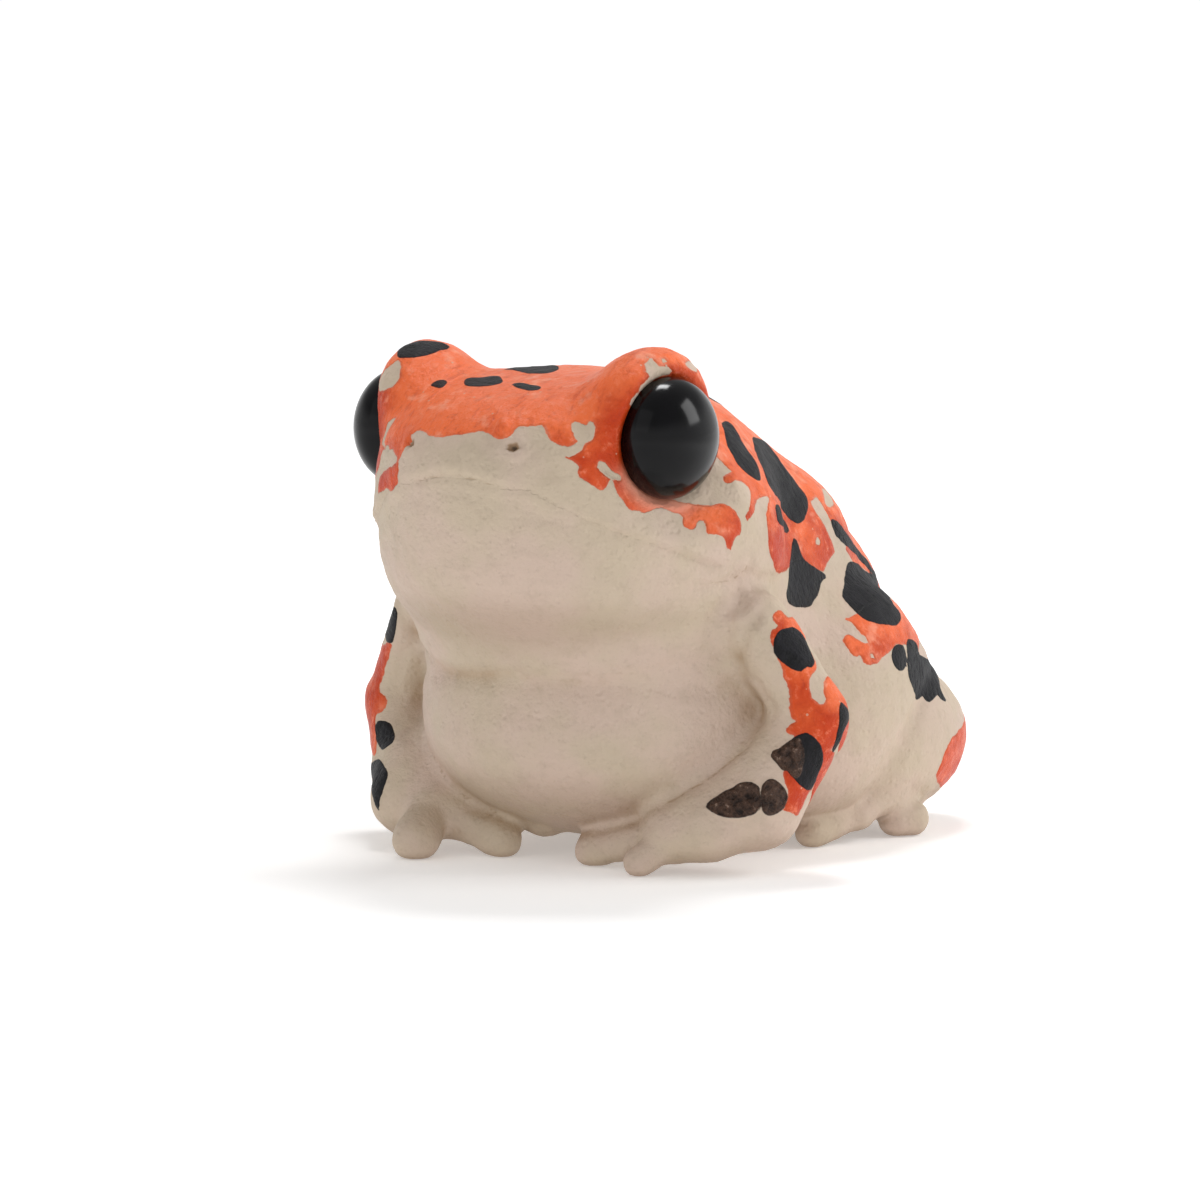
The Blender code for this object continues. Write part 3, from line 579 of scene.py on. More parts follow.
def arm_forms(side):
    wrist = sided(WRISTS[side], side)
    palm = sided(PALMS[side], side)
    elbow = sided(ELBOWS[side], side)
    bend = (elbow[0] - ELBOW_INSET[side] * side, elbow[1], elbow[2] - ELBOW_DROP)
    heel = sided(HAND_HEELS[side], side)
    upper = Limb(sided(SHOULDERS[side], side), elbow, SHOULDER_RADIUS, ELBOW_RADIUS)
    fore = Limb(bend, heel, FOREARM_RADIUS, HAND_HEEL_RADIUS)
    heel_pad = Limb(heel, wrist, HAND_HEEL_RADIUS, WRIST_RADII[side])
    hand = Limb(wrist, palm, WRIST_RADII[side] - 0.1, PALM_RADIUS)
    web_start, web_end, start_radius, end_radius = WEBS[side]
    web = Limb(sided(web_start, side), sided(web_end, side), start_radius, end_radius)
    forms = [(form, LIMB_FILLET) for form in (upper, fore, heel_pad, hand)] + [(web, WEB_FILLET)]
    roots = (palm, palm, sided(THIRD_ROOTS[side], side))
    fingers = zip(roots, FINGER_TIPS[side], FINGER_RADII[side], FINGER_FILLETS[side])
    for number, (root, tip, radius, fillets) in enumerate(fingers):
        root_radius = FINGER_ROOT_RADIUS if number < 2 else radius + 0.2
        tip = Vector(sided(tip, side))
        forms.append((Limb(root, tip, root_radius - 0.25, radius - 0.1), fillets[0]))
        pad = tip + (tip - Vector(root)).normalized() * FINGER_PAD
        forms.append((Limb(tip - (pad - tip) * 4.0, pad, radius, radius), fillets[1]))
    return forms


def foot_forms(side):
    sole, knuckle = sided(SOLE, side), sided(KNUCKLE, side)
    inner, outer = (sided(tip, side) for tip in TOE_TIPS)
    pad = sided(TOE_PAD, side)
    return [
        (Limb(sided(HEEL, side), sole, HEEL_RADIUS, SOLE_RADIUS), 1.0),
        (Limb(sole, knuckle, SOLE_RADIUS - 0.2, KNUCKLE_RADIUS), 0.6),
        (Limb(knuckle, inner, KNUCKLE_RADIUS - 0.2, TOE_RADII[0]), 0.5),
        (Limb(sole, outer, SOLE_RADIUS - 0.5, TOE_RADII[1] - 0.2), 0.5),
        (Limb(pad, outer, TOE_RADII[1], TOE_RADII[1]), 0.35),
    ]


def leg_forms(side):
    return [(Ball(sided(centre, side), radii, tilt), THIGH_FILLET) for centre, radii, tilt in (THIGH, SHANK)]


def fused_distance(forms, points):
    total = forms[0][0].distance(points)
    for form, reach in forms[1:]:
        total = fuse(total, form.distance(points), reach)
    return total


PART_NAMES = ("head", "torso", "arm_left", "arm_right", "leg_left", "leg_right", "foot_left", "foot_right")


def part_fields(points):
    """The distance to each part of the body, in the order of PART_NAMES."""
    found = [head_field(points), torso_field(points)]
    for forms in (arm_forms, leg_forms, foot_forms):
        for side in (1, -1):
            found.append(fused_distance(forms(side), points))
    for side in (1, -1):
        thigh, shank = (form.distance(points) for form, _ in leg_forms(side))
        found[4 if side == 1 else 5] += KNEE_CREASE * bump_at(thigh - shank, KNEE_WIDTH)
    return found


def body_field(points):
    """The whole body as one skin."""
    head, torso, *limbs = part_fields(points)
    field = fuse(head, torso, HEAD_FILLET)
    for arm in limbs[0:2]:
        field = fuse(field, arm, ARM_FILLET)
    for leg in limbs[2:4]:
        field = fuse(field, leg, LEG_FILLET)
    for foot in limbs[4:6]:
        field = fuse(field, foot, FOOT_FILLET)
    return field


def skin_field(points):
    """The body, with lids round the eyes, cut away over the eyes and flat where it stands."""
    eye = eye_distance(points)
    field = body_field(points) - LID_RISE * bump_at(eye - LID_PLACE, LID_WIDTH)
    field = trim(field, -LID_OVERLAP - eye, LID_EDGE)
    return trim(field, -points[:, 2], BASE_EDGE)


def linked(name, data):
    piece = bpy.data.objects.new(name, data)
    bpy.context.scene.collection.objects.link(piece)
    return piece


def remesh(piece, voxel):
    even = piece.modifiers.new("Even faces", "REMESH")
    even.mode = "VOXEL"
    even.voxel_size = voxel * MM
    bpy.context.view_layer.update()
    seen = piece.evaluated_get(bpy.context.evaluated_depsgraph_get())
    baked = bpy.data.meshes.new_from_object(seen)
    old = piece.data
    piece.modifiers.clear()
    piece.data = baked
    bpy.data.meshes.remove(old)


def corners_of(piece):
    flat = np.empty(len(piece.data.vertices) * 3)
    piece.data.vertices.foreach_get("co", flat)
    return flat.reshape(-1, 3) / MM


def set_corners(piece, points):
    piece.data.vertices.foreach_set("co", (points * MM).ravel())
    piece.data.update()


def slope_of(points, field, probe=0.02):
    slope = np.empty_like(points)
    for axis in range(3):
        shift = np.zeros(3)
        shift[axis] = probe
        slope[:, axis] = (field(points + shift) - field(points - shift)) / (2 * probe)
    return slope


def drawn(points, field, rounds):
    """Points moved along a field's slope until they lie on it."""
    longest_step = 0.6
    for _ in range(rounds):
        slope = slope_of(points, field)
        size = np.maximum((slope**2).sum(axis=1), 0.2)
        step = np.clip(field(points), -longest_step, longest_step) / size
        points = points - step[:, None] * slope
    return points


def relax(piece, times):
    mesh = bmesh.new()
    mesh.from_mesh(piece.data)
    for _ in range(times):
        bmesh.ops.smooth_vert(
            mesh, verts=mesh.verts, factor=0.5,
            use_axis_x=True, use_axis_y=True, use_axis_z=True)
    mesh.to_mesh(piece.data)
    mesh.free()


def make_skin():
    """The skin's mesh, still in the frog's own frame."""
    mesh = bmesh.new()
    for mass in (BELLY, CHEST, BACK, NAPE, RUMP, LOIN, HUMP):
        Ball(*mass).rough_out(mesh)
    for height, width, length, middle in HEAD_LEVELS[1:]:
        Ball((0.0, middle, height - 1.0), (width, length, 3.0)).rough_out(mesh)
    for side in (1, -1):
        Ball(sided(BROW_CENTRE, side), BROW_RADII).rough_out(mesh)
        for form, _ in arm_forms(side) + leg_forms(side) + foot_forms(side):
            form.rough_out(mesh)
    rough = bpy.data.meshes.new("frog_skin")
    mesh.to_mesh(rough)
    mesh.free()
    skin = linked("frog_skin", rough)
    remesh(skin, ROUGH_VOXEL)
    for _ in range(3):
        set_corners(skin, drawn(corners_of(skin), skin_field, 3))
        relax(skin, 2)
    remesh(skin, FINE_VOXEL)
    set_corners(skin, drawn(corners_of(skin), skin_field, 2))
    relax(skin, 2)
    set_corners(skin, drawn(corners_of(skin), skin_field, 3))
    return skin


def linear(red, green, blue):
    """A screen colour of 0 to 255 a channel, as the shader wants it."""
    shares = [(channel / 255 + 0.055) / 1.055 for channel in (red, green, blue)]
    return tuple(share**2.4 for share in shares) + (1.0,)


class Look:
    """A material's node tree, written a line at a time."""

    def __init__(self, name):
        self.material = bpy.data.materials.new(name)
        self.material.use_nodes = True
        self.nodes = self.material.node_tree.nodes
        self.shader = self.nodes["Principled BSDF"]
        place = self.nodes.new("ShaderNodeTexCoord")
        self.place = place.outputs["Object"]

    def link(self, value, socket):
        if isinstance(value, bpy.types.NodeSocket):
            self.material.node_tree.links.new(value, socket)
        else:
            socket.default_value = value

    def attribute(self, name):
        node = self.nodes.new("ShaderNodeAttribute")
        node.attribute_name = name
        return node.outputs["Fac"]

    def stretched(self, turn, stretch):
        node = self.nodes.new("ShaderNodeMapping")
        self.link(self.place, node.inputs["Vector"])
        node.inputs["Rotation"].default_value = [math.radians(angle) for angle in turn]
        node.inputs["Scale"].default_value = stretch
        return node.outputs["Vector"]

    def noise(self, size, detail=3.0, rough=0.55, place=None):
        """Noise from about -1 to 1, its lumps about size mm wide."""
        node = self.nodes.new("ShaderNodeTexNoise")
        self.link(place or self.place, node.inputs["Vector"])
        node.inputs["Scale"].default_value = 1.0 / (size * MM)
        node.inputs["Detail"].default_value = detail
        node.inputs["Roughness"].default_value = rough
        return self.line(node.outputs["Fac"], 4.0, -2.0)

    def cells(self, size):
        node = self.nodes.new("ShaderNodeTexVoronoi")
        self.link(self.place, node.inputs["Vector"])
        node.inputs["Scale"].default_value = 1.0 / (size * MM)
        return node.outputs["Distance"]

    def line(self, value, times, plus):
        return self.math("MULTIPLY_ADD", value, times, plus)

    def math(self, kind, *values):
        node = self.nodes.new("ShaderNodeMath")
        node.operation = kind
        for value, socket in zip(values, node.inputs):
            self.link(value, socket)
        return node.outputs["Value"]

    def ramp(self, value, low, high, start=0.0, end=1.0):
        node = self.nodes.new("ShaderNodeMapRange")
        node.interpolation_type = "SMOOTHSTEP"
        for part, socket in zip((value, low, high, start, end), node.inputs):
            self.link(part, socket)
        return node.outputs["Result"]

    def mix(self, share, first, second):
        node = self.nodes.new("ShaderNodeMix")
        node.data_type = "RGBA"
        self.link(share, node.inputs["Factor"])
        colours = [socket for socket in node.inputs if socket.type == "RGBA"]
        self.link(first, colours[0])
        self.link(second, colours[1])
        return [socket for socket in node.outputs if socket.type == "RGBA"][0]

    def over(self, paint, value, low, high, share, colour):
        """A paint under another, which grows from none at low to its full share at high."""
        return self.mix(self.ramp(value, low, high, 0.0, share), paint, linear(*colour))

    def blend(self, share, first, second):
        """A number between two others."""
        return self.math("ADD", first, self.math("MULTIPLY", share, self.math("SUBTRACT", second, first)))

    def finish(self, colour, roughness, height):
        self.link(colour, self.shader.inputs["Base Color"])
        self.link(roughness, self.shader.inputs["Roughness"])
        bump = self.nodes.new("ShaderNodeBump")
        bump.inputs["Distance"].default_value = MM
        self.link(height, bump.inputs["Height"])
        self.link(bump.outputs["Normal"], self.shader.inputs["Normal"])
        return self.material


def body_look():
    look = Look("painted plastic")
    look.shader.inputs["Specular IOR Level"].default_value = BODY_GLINT
    orange_field, black_field, rough_field, hollow, upward, crease, rim = (
        look.attribute(name) for name in ("orange", "black", "rough", "hollow", "upward", "crease", "rim"))
    orange_field = look.line(look.noise(0.9, 4.0, 0.6), 0.11, orange_field)
    black_field = look.line(look.noise(0.6, 3.0), 0.035, black_field)
    orange = look.ramp(orange_field, -0.03, 0.03)
    black = look.ramp(black_field, -0.03, 0.03)
    rough = look.math("MULTIPLY", look.ramp(rough_field, -0.05, 0.08), black)

    # Cream plastic, with a brown wash in the hollows that also paints their shade, and painted shade
    # underneath.
    broad = look.noise(6.0, 3.0)
    mottled = look.noise(1.3, 5.0, 0.65)
    fine = look.noise(0.22, 3.0, 0.6)
    cream = look.over(linear(*CREAM), broad, -0.6, 0.6, 1.0, PINK_CREAM)
    cream = look.over(cream, mottled, -0.1, 1.0, 0.35, DUSTY_CREAM)
    cream = look.over(cream, fine, 0.2, 1.1, 0.22, PORE_BROWN)
    wavy_crease = look.line(mottled, 0.05, crease)
    # Brown wash and painted shade gather in the hollows and along the crisp creases.
    wash_and_shade = look.math("ADD", hollow, look.ramp(wavy_crease, 0.0, 0.16, 0.4, 0.0))
    wash_and_shade = look.line(mottled, 0.12, wash_and_shade)
    for low, high, share, wash in WASH_AND_SHADE_LAYERS:
        cream = look.over(cream, wash_and_shade, low, high, share, wash)
    # Painted shade on the undersides.
    cream = look.over(cream, upward, -0.35, -0.95, 0.45, UNDER_SHADE_BROWN)

    # Orange paint: redder in places and paler at thin edges. Paler on the tops as a dry brush leaves them,
    # and lighter there as painted highlight: where the light falls, in pale pink clouds on the upward faces,
    # and along the lid below each eye.
    clouds = look.noise(3.2, 4.0, 0.6)
    strokes = look.noise(0.5, 3.0, 0.6, look.stretched((0, 0, 35), (1.0, 0.22, 0.45)))
    lit = look.line(clouds, 0.22, upward)
    dabs = look.noise(0.8, 5.0, 0.7)
    coat = look.over(linear(*DEEP_ORANGE), clouds, -0.7, 0.7, 1.0, ORANGE)
    # Painted highlight on the lit tops.
    for value, low, high, share, colour in (
            (lit, 0.05, 0.7, 0.8, LIT_TOP_ORANGE), (dabs, 0.1, 1.0, 0.65, PALE_ORANGE),
            (strokes, 0.1, 1.1, 0.45, RUST), (dabs, -0.2, -1.1, 0.6, DARK_RUST)):
        coat = look.over(coat, value, low, high, share, colour)
    # Pink paint and painted highlight along the lid below each eye, where the bead shades it.
    coat = look.mix(look.math("MULTIPLY", rim, 0.85), coat, linear(*RIM_HIGHLIGHT_PINK))
    # Painted highlight: pale pink clouds on the upward faces.
    pale_highlight = look.math("MULTIPLY", look.ramp(look.noise(1.9, 4.0, 0.6), 0.15, 0.8), look.ramp(upward, 0.0, 0.5))
    coat = look.mix(look.math("MULTIPLY", pale_highlight, 0.55), coat, linear(*HIGHLIGHT_PINK))
    coat = look.over(coat, orange_field, 0.2, 0.02, 0.4, THIN_ORANGE)
    coat = look.over(coat, look.cells(1.4), 0.075, 0.045, 0.7, SPECK)

    # Black spots, brushed on last, the rough ones in lumps of brown, with a painted highlight on the lumps'
    # tops.
    hairs = look.noise(0.35, 3.0, 0.6, look.stretched((0, 20, -30), (0.2, 1.0, 0.6)))
    spot = look.over(linear(*BLACK), hairs, -0.9, 0.9, 1.0, SOFT_BLACK)
    lumps = look.noise(0.55, 4.0, 0.65)
    brown = look.over(linear(*DARK_BROWN), lumps, -0.8, 0.5, 1.0, BROWN)
    # Painted highlight on the lumps' tops.
    brown = look.over(brown, lumps, 0.35, 0.9, 0.8, LUMP_HIGHLIGHT)
    spot = look.mix(rough, spot, brown)

    colour = look.mix(black, look.mix(orange, cream, coat), spot)
    gloss = look.blend(orange, look.line(fine, 0.05, 0.55), look.line(strokes, 0.08, 0.38))
    gloss = look.blend(black, gloss, look.blend(rough, look.line(hairs, 0.07, 0.55), 0.26))

    leather = look.line(look.ramp(look.cells(0.5), 0.0, 0.5), 0.04, look.math("MULTIPLY", fine, 0.012))
    bare = look.line(mottled, 0.035, leather)
    bare = look.math("ADD", bare, look.ramp(wavy_crease, 0.0, 0.14, -0.05, 0.0))
    ridges = look.line(dabs, 0.05, look.math("MULTIPLY", strokes, 0.035))
    coat_top = look.math("ADD", ridges, look.ramp(orange_field, -0.05, 0.16, 0.0, 0.07))
    spot_top = look.line(hairs, 0.03, look.ramp(black_field, -0.04, 0.1, 0.0, 0.05))
    spot_top = look.math("ADD", spot_top, look.math("MULTIPLY", rough, look.math("MULTIPLY", lumps, 0.16)))
    height = look.math("ADD", look.blend(orange, bare, coat_top), look.math("MULTIPLY", black, spot_top))
    return look.finish(colour, gloss, height)


def eye_look():
    look = Look("eye gloss")
    clouds = look.noise(1.2, 3.0)
    colour = look.over(linear(*EYE_BLACK), clouds, -0.8, 0.8, 1.0, EYE_CLOUD)
    gloss = look.line(look.noise(0.5, 2.0), 0.015, 0.15)
    look.shader.inputs["Specular IOR Level"].default_value = EYE_GLINT
    return look.finish(colour, gloss, look.math("MULTIPLY", look.noise(1.6, 2.0), 0.004))


def floor_look():
    look = Look("floor")
    soft = look.noise(60.0, 2.0)
    colour = look.mix(look.ramp(soft, -1.0, 1.0), (0.93, 0.93, 0.93, 1.0), (0.95, 0.95, 0.95, 1.0))
    # The floor glows, more further out: painted light.
    look.shader.inputs["Emission Color"].default_value = (1.0, 1.0, 1.0, 1.0)
    far = look.nodes.new("ShaderNodeVectorMath")
    far.operation = "LENGTH"
    look.link(look.place, far.inputs[0])
    near_end, far_end = (reach * MM for reach in GLOW_REACH)
    glow = look.ramp(far.outputs["Value"], near_end, far_end, *FLOOR_GLOW)
    look.link(glow, look.shader.inputs["Emission Strength"])
    look.shader.inputs["Specular IOR Level"].default_value = FLOOR_GLINT
    return look.finish(colour, look.line(soft, 0.02, 0.8), look.math("MULTIPLY", soft, 0.002))


class Surface:
    """The skin before its relief, to find what a pixel of the photo shows."""

    def __init__(self, skin):
        count = len(skin.data.vertices)
        normals = np.empty(count * 3)
        skin.data.vertices.foreach_get("normal", normals)
        self.points = corners_of(skin)
        self.normals = normals.reshape(-1, 3)
        faces = [tuple(face.vertices) for face in skin.data.polygons]
        self.tree = BVHTree.FromPolygons(self.points.tolist(), faces)
        forward, right, up = view_axes()
        self.eye = VIEW_AIM[0] * right + VIEW_AIM[1] * up - VIEW_DISTANCE * forward
        self.axes = (forward, right, up)

    def seen(self, pixel):
        """The place and facing of the skin at a pixel, or of the nearest skin beside it."""
        forward, right, up = self.axes
        scale = 2 * VIEW_HALF_WIDTH / PHOTO_SIZE
        across = (pixel[0] - PHOTO_SIZE / 2) * scale
        rise = (PHOTO_SIZE / 2 - pixel[1]) * scale
        ray = (VIEW_DISTANCE * forward + across * right + rise * up).normalized()
        place, facing, _, _ = self.tree.ray_cast(self.eye, ray)
        if place is None:
            tries = [self.tree.find_nearest(self.eye + ray * depth) for depth in range(272, 330)]
            place, facing, _, _ = min(tries, key=lambda found: found[3])
        return place, facing

    def at(self, spot, side=1):
        """The skin at a pixel or near a point of the frog's frame, or its like on the other side."""
        if len(spot) == 2:
            place, facing = self.seen(spot)
        else:
            place, facing, _, _ = self.tree.find_nearest(Vector(spot))
        if side == -1:
            place, facing, _, _ = self.tree.find_nearest(Vector(sided(place, -1)))
        return place, facing


def rounded(ring, parts=4):
    """A closed ring of points on a smooth curve through the given ones."""
    before, after, later = np.roll(ring, 1, 0), np.roll(ring, -1, 0), np.roll(ring, -2, 0)
    rows = []
    for step in range(parts):
        part = step / parts
        rows.append(0.5 * (
            2 * ring + (after - before) * part
            + (2 * before - 5 * ring + 4 * after - later) * part**2
            + (3 * ring - before - 3 * after + later) * part**3))
    return np.stack(rows, axis=1).reshape(-1, ring.shape[1])


def ring_distance(flat, ring):
    """How far points of a plane lie inside a ring, negative outside."""
    nearest = np.full(len(flat), np.inf)
    inside = np.zeros(len(flat), dtype=bool)
    for start, end in zip(ring, np.roll(ring, -1, 0)):
        edge = end - start
        away = flat - start
        along = np.clip(away @ edge / max(edge @ edge, 1e-9), 0.0, 1.0)
        nearest = np.minimum(nearest, np.hypot(*(away - along[:, None] * edge).T))
        crosses = (start[1] > flat[:, 1]) != (end[1] > flat[:, 1])
        rise = edge[1] if edge[1] else 1e-9
        inside ^= crosses & (away[:, 0] < away[:, 1] * edge[0] / rise)
    return np.where(inside, nearest, -nearest)


def outline_paint(surface, spots, side=1):
    """How far each corner lies inside an outline drawn on the skin."""
    found = [surface.at(spot, side) for spot in spots]
    ring = np.array([place for place, _ in found])
    facing = Vector(np.mean([np.array(facing) for _, facing in found], axis=0)).normalized()
    across = np.array(facing.orthogonal().normalized())
    rise = np.array(facing.cross(Vector(across)))
    facing = np.array(facing)
    middle = ring.mean(axis=0)
    plane = np.column_stack([across, rise])
    deep = np.abs((ring - middle) @ facing).max() + OUTLINE_DEPTH
    ring = rounded((ring - middle) @ plane)
    reach = np.abs(ring).max() + 1.0
    away = surface.points - middle
    flat, depth = away @ plane, away @ facing
    near = (np.abs(flat).max(axis=1) < reach) & (np.abs(depth) < deep)
    paint = np.full(len(away), -NO_PAINT)
    inside = ring_distance(flat[near], ring)
    turned = TURN_LIMIT * (surface.normals[near] @ facing - 0.08)
    paint[near] = np.maximum(np.minimum.reduce([inside, turned, deep - np.abs(depth[near])]), -NO_PAINT)
    return paint


def spot_paint(surface, spot, radii, turn, seed):
    """How far each corner lies inside a spot with an uneven edge."""
    place, facing = surface.at(spot)
    place, facing = np.array(place), np.array(facing)
    down = np.array((0.0, 0.35, -1.0))
    down = down - (down @ facing) * facing
    down /= np.linalg.norm(down)
    across = np.cross(facing, down)
    away = surface.points - place
    angle = np.arctan2(away @ across, away @ down) - math.radians(turn)
    far = np.linalg.norm(away, axis=1)
    size = 1.0 / np.hypot(np.sin(angle) / radii[0], np.cos(angle) / radii[1])
    draw = random.Random(seed)
    for lobes in (2, 3, 5, 7):
        swell = draw.uniform(-SPOT_WAVE, SPOT_WAVE) / math.sqrt(lobes)
        size = size * (1.0 + swell * np.sin(lobes * angle + draw.uniform(0, math.tau)))
    turned = TURN_LIMIT * (surface.normals @ facing + 0.1)
    return np.maximum(np.minimum(size - far, turned), -NO_PAINT)


def back_orange(points):
    """How far each corner lies above the lower edge of the orange on the back."""
    far_side = eased(0.5 - points[:, 0] / 6.0)
    edges = [np.interp(points[:, 1], *np.array(edge, dtype=float).T) for edge in (FAR_EDGE, NEAR_EDGE)]
    lobes = sum(size * np.sin(points[:, 1] * often + start) for size, often, start in FAR_LOBES)
    edge = edges[0] * far_side + edges[1] * (1.0 - far_side) + lobes * far_side
    return np.clip(points[:, 2] - edge, -NO_PAINT, NO_PAINT)


def fold_height(surface, name):
    """A fold's height over the skin at each corner and how far off its line is, in mm."""
    height, width, spots = FOLDS[name]
    total = np.zeros(len(surface.points))
    crease = np.full(len(total), NO_PAINT)
    for side in (1,) if name in LONE_FOLDS else (1, -1):
        line = [surface.at(spot, side)[0] for spot in spots]
        nearest = np.full(len(total), np.inf)
        for start, end in zip(line, line[1:]):
            nearest = np.minimum(nearest, Limb(start, end, 0.0, 0.0).distance(surface.points))
        first, last = (np.linalg.norm(surface.points - np.array(end), axis=1) for end in (line[0], line[-1]))
        ends = np.minimum(first, last) / FOLD_RUN_OUT
        total += height * bump_at(nearest, width) * eased(0.25 + ends)
        crease = np.minimum(crease, nearest + 0.12 * (1.0 - eased(ends)))
    return total, crease


def grain(points, size, seed):
    """Smooth noise from -1 to 1, its lumps about size mm wide."""
    offset = Vector((seed * 7.3, seed * 3.1, seed * 5.7))
    return np.array([noise.noise(Vector(point) / size + offset) for point in points.tolist()])


def painted(surface):
    """Each paint's distance field on the skin, in mm."""
    parts = part_fields(surface.points)
    body = np.minimum(parts[0], parts[1])

    def drawn_paint(name, spots):
        field = outline_paint(surface, spots)
        if name in ARM_PAINT:
            field = np.minimum(field, 2.0 * (body - parts[ARM_PAINT[name]]))
        return field

    orange = back_orange(surface.points)
    for name, spots in ORANGE_OUTLINES.items():
        orange = np.maximum(orange, drawn_paint(name, spots))
        if name in MIRRORED_ORANGE:
            orange = np.maximum(orange, outline_paint(surface, spots, -1))
    for number, (spot, radii, turn) in enumerate(HIDDEN_ORANGE):
        orange = np.maximum(orange, spot_paint(surface, spot, radii, turn, 100 + number))
    for spots in CREAM_OUTLINES.values():
        orange = np.minimum(orange, -outline_paint(surface, spots))
    # Pale dots that also stand for small glints.
    for number, (spot, size) in enumerate(PALE_DOTS):
        orange = np.minimum(orange, -spot_paint(surface, spot, (size, size), 0, 200 + number))
    black = np.full(len(orange), -NO_PAINT)
    rough = black.copy()
    for name, spots in BLACK_OUTLINES.items():
        field = drawn_paint(name, spots)
        black = np.maximum(black, field)
        if name in ROUGH_OUTLINES:
            rough = np.maximum(rough, field)
    for number, (spot, radii, turn) in enumerate(HIDDEN_SPOTS):
        black = np.maximum(black, spot_paint(surface, spot, radii, turn, number))
    return {"orange": orange, "black": black, "rough": rough}


def paint_skin(skin):
    """Paint and relief: the paints' fields go on the mesh, and its corners move out by their height."""
    surface = Surface(skin)
    fields = painted(surface)
    folds = {name: fold_height(surface, name) for name in FOLDS}
    creases = [folds[name][1] for name in CRISP_FOLDS]
    fields["crease"] = np.minimum.reduce(creases)
    points, normals = surface.points, surface.normals
    # How hollow each corner lies, for the brown wash and painted shade; sunken folds add to it.
    hollow = np.zeros(len(points))
    for reach, share in HOLLOW_REACHES:
        hollow += share * np.clip(1.0 - skin_field(points + normals * reach) / reach, 0.0, 1.2)
    hollow += sum(np.clip(-fold, 0.0, None) * 1.2 for fold, _ in folds.values())
    orange, black, rough = (fields[name] for name in ("orange", "black", "rough"))
    height = sum(fold for fold, _ in folds.values())
    height += PAINT_THICKNESS * eased(0.5 + orange / PAINT_EDGE) * (0.8 + 0.5 * grain(points, BRUSH_LUMP, 1))
    height += SPOT_THICKNESS * eased(0.5 + black / PAINT_EDGE)
    height += ROUGH_THICKNESS * eased(0.3 + rough / 0.5) * (0.7 + 1.1 * grain(points, ROUGH_LUMP, 2))
    for share, lump, seed in MOULD_LUMPS:
        height += share * MOULD_GRAIN * grain(points, lump, seed)
    wrinkled = np.maximum(0.0, spot_paint(surface, WRINKLE_SPOT, WRINKLE_RADII, 0, 300))
    height += WRINKLE_HEIGHT * eased(wrinkled) * grain(points, WRINKLE_LUMP, 5)
    for spot, radii, rise in DROPLETS:
        height += rise * eased(spot_paint(surface, spot, radii, 90, 400) / min(radii))
    for spot, radii in NOSTRILS:
        pit = spot_paint(surface, spot, radii, 70, 500)
        height += 0.1 * bump_at(pit + 0.35, 0.3) - NOSTRIL_DEPTH * eased(0.5 + pit / 0.35)
        # The nostril's pit is painted dark as shade.
        hollow += 2.2 * eased(0.5 + pit / 0.25)
    keep = eased((eye_distance(points) - 0.15) / 0.5) * eased(points[:, 2] / 0.5)
    set_corners(skin, points + normals * (height * keep)[:, None])
    fields["hollow"] = np.clip(hollow, 0.0, HOLLOW_MOST)
    # A band round the lower lid of each eye, for pink paint and a painted highlight where the bead shades the
    # lid.
    below_eye = eased((EYE_CENTRE[2] - 1.0 - points[:, 2]) / 2.0)
    fields["rim"] = bump_at(eye_distance(points) - 0.3, 0.7) * below_eye
    # How much each corner faces up: tops get painted highlight, undersides painted shade.
    fields["upward"] = normals[:, 2].copy()
    for name, values in fields.items():
        layer = skin.data.attributes.new(name, "FLOAT", "POINT")
        layer.data.foreach_set("value", values.astype(np.float32))


def make_eye(side):
    """A glossy bead, as rings about its outward axis."""
    rings, segments = EYE_MESH
    middle = Vector(sided(EYE_CENTRE, side)) + SHIFT
    mesh = bmesh.new()
    rows = []
    for ring in range(1, rings):
        down = math.pi * ring / rings
        row = []
        for segment in range(segments):
            turn = 2 * math.pi * segment / segments
            out = (math.cos(down) * side, math.sin(down) * math.cos(turn), math.sin(down) * math.sin(turn))
            row.append(mesh.verts.new((middle + Vector(out) * Vector(EYE_RADII)) * MM))
        rows.append(row)
    for upper, lower in zip(rows, rows[1:]):
        for segment in range(segments):
            after = (segment + 1) % segments
            mesh.faces.new((upper[segment], upper[after], lower[after], lower[segment]))
    for row, end in ((rows[0], side), (rows[-1], -side)):
        tip = mesh.verts.new((middle + Vector((end * EYE_RADII[0], 0.0, 0.0))) * MM)
        for segment in range(segments):
            mesh.faces.new((row[segment], row[(segment + 1) % segments], tip))
    bmesh.ops.recalc_face_normals(mesh, faces=mesh.faces)
    bead = bpy.data.meshes.new("eye_bead")
    mesh.to_mesh(bead)
    mesh.free()
    bead.shade_smooth()
    return linked("eye_bead_left" if side == 1 else "eye_bead_right", bead)


def way_out(azimuth, elevation):
    """The way from the frog at an azimuth from straight ahead to its left, and an elevation."""
    around, rise = math.radians(azimuth), math.radians(elevation)
    return Vector((math.sin(around) * math.cos(rise), -math.cos(around) * math.cos(rise), math.sin(rise)))


def view_axes():
    """Forward, right and up as the photo's camera has them."""
    forward = -way_out(VIEW_AZIMUTH, VIEW_ELEVATION)
    right = forward.cross(Vector((0.0, 0.0, 1.0))).normalized()
    return forward, right, right.cross(forward)


def camera():
    forward, right, up = view_axes()
    lens = bpy.data.cameras.new("photo_view")
    lens.sensor_width = SENSOR_WIDTH
    lens.lens = SENSOR_WIDTH * VIEW_DISTANCE / (2 * VIEW_HALF_WIDTH)
    lens.clip_start = 0.01
    eye = linked("photo_view", lens)
    place = VIEW_AIM[0] * right + VIEW_AIM[1] * up - VIEW_DISTANCE * forward + SHIFT
    turn = Matrix((right, up, -forward)).transposed().to_4x4()
    eye.matrix_world = Matrix.Translation(place * MM) @ turn
    bpy.context.scene.camera = eye


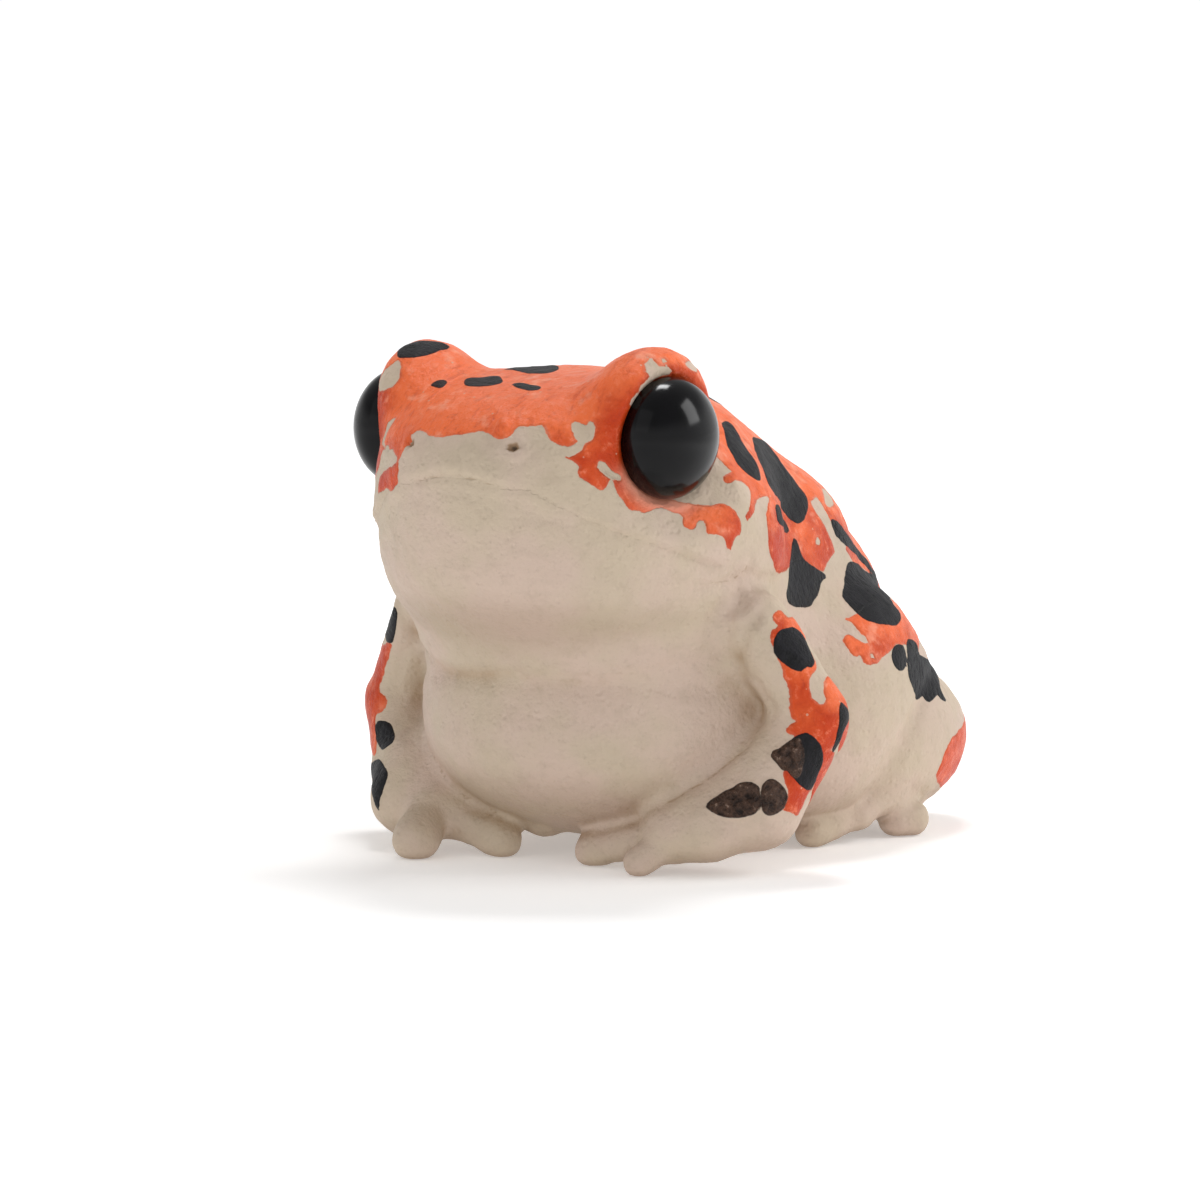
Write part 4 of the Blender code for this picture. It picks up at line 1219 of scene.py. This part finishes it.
def lamp(name, azimuth, elevation, distance, size, power):
    """A soft lamp aimed at the frog."""
    light = bpy.data.lights.new(name, "AREA")
    light.shape = "RECTANGLE"
    light.size, light.size_y = (length * MM for length in size)
    light.energy = power
    piece = linked(name, light)
    away = way_out(azimuth, elevation)
    piece.location = (Vector(LAMP_AIM) + away * distance + SHIFT) * MM
    piece.rotation_euler = away.to_track_quat("Z", "Y").to_euler()


def studio():
    world = bpy.data.worlds.new("studio")
    world.use_nodes = True
    nodes, links = world.node_tree.nodes, world.node_tree.links
    nodes["Background"].inputs["Color"].default_value = (1.0, 1.0, 1.0, 1.0)
    way, parts, fade = (nodes.new("ShaderNode" + kind) for kind in ("TexCoord", "SeparateXYZ", "MapRange"))
    fade.interpolation_type = "SMOOTHSTEP"
    for value, socket in zip((*SKY_FADE, HORIZON_LIGHT, SKY_LIGHT), list(fade.inputs)[1:5]):
        socket.default_value = value
    links.new(way.outputs["Generated"], parts.inputs["Vector"])
    links.new(parts.outputs["Z"], fade.inputs["Value"])
    links.new(fade.outputs["Result"], nodes["Background"].inputs["Strength"])
    bpy.context.scene.world = world
    for name, settings in LAMPS.items():
        lamp(name, *settings)
    mesh = bmesh.new()
    reach = FLOOR_REACH * MM
    ends = ((-1, -1), (1, -1), (1, 1), (-1, 1))
    mesh.faces.new([mesh.verts.new((x * reach, y * reach, 0.0)) for x, y in ends])
    sheet = bpy.data.meshes.new("floor")
    mesh.to_mesh(sheet)
    mesh.free()
    floor = linked("floor", sheet)
    sheet.materials.append(floor_look())


skin = make_skin()
paint_skin(skin)
skin.data.transform(Matrix.Translation(SHIFT * MM))
skin.data.shade_smooth()
skin.data.materials.append(body_look())
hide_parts(*FLESH)
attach(skin, "root")

bead_look = eye_look()
for side, name in ((1, "eye_left"), (-1, "eye_right")):
    eye_bead = make_eye(side)
    eye_bead.data.materials.append(bead_look)
    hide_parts(name)
    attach(eye_bead, "root")

camera()
studio()
bpy.context.scene.view_settings.view_transform = "Standard"
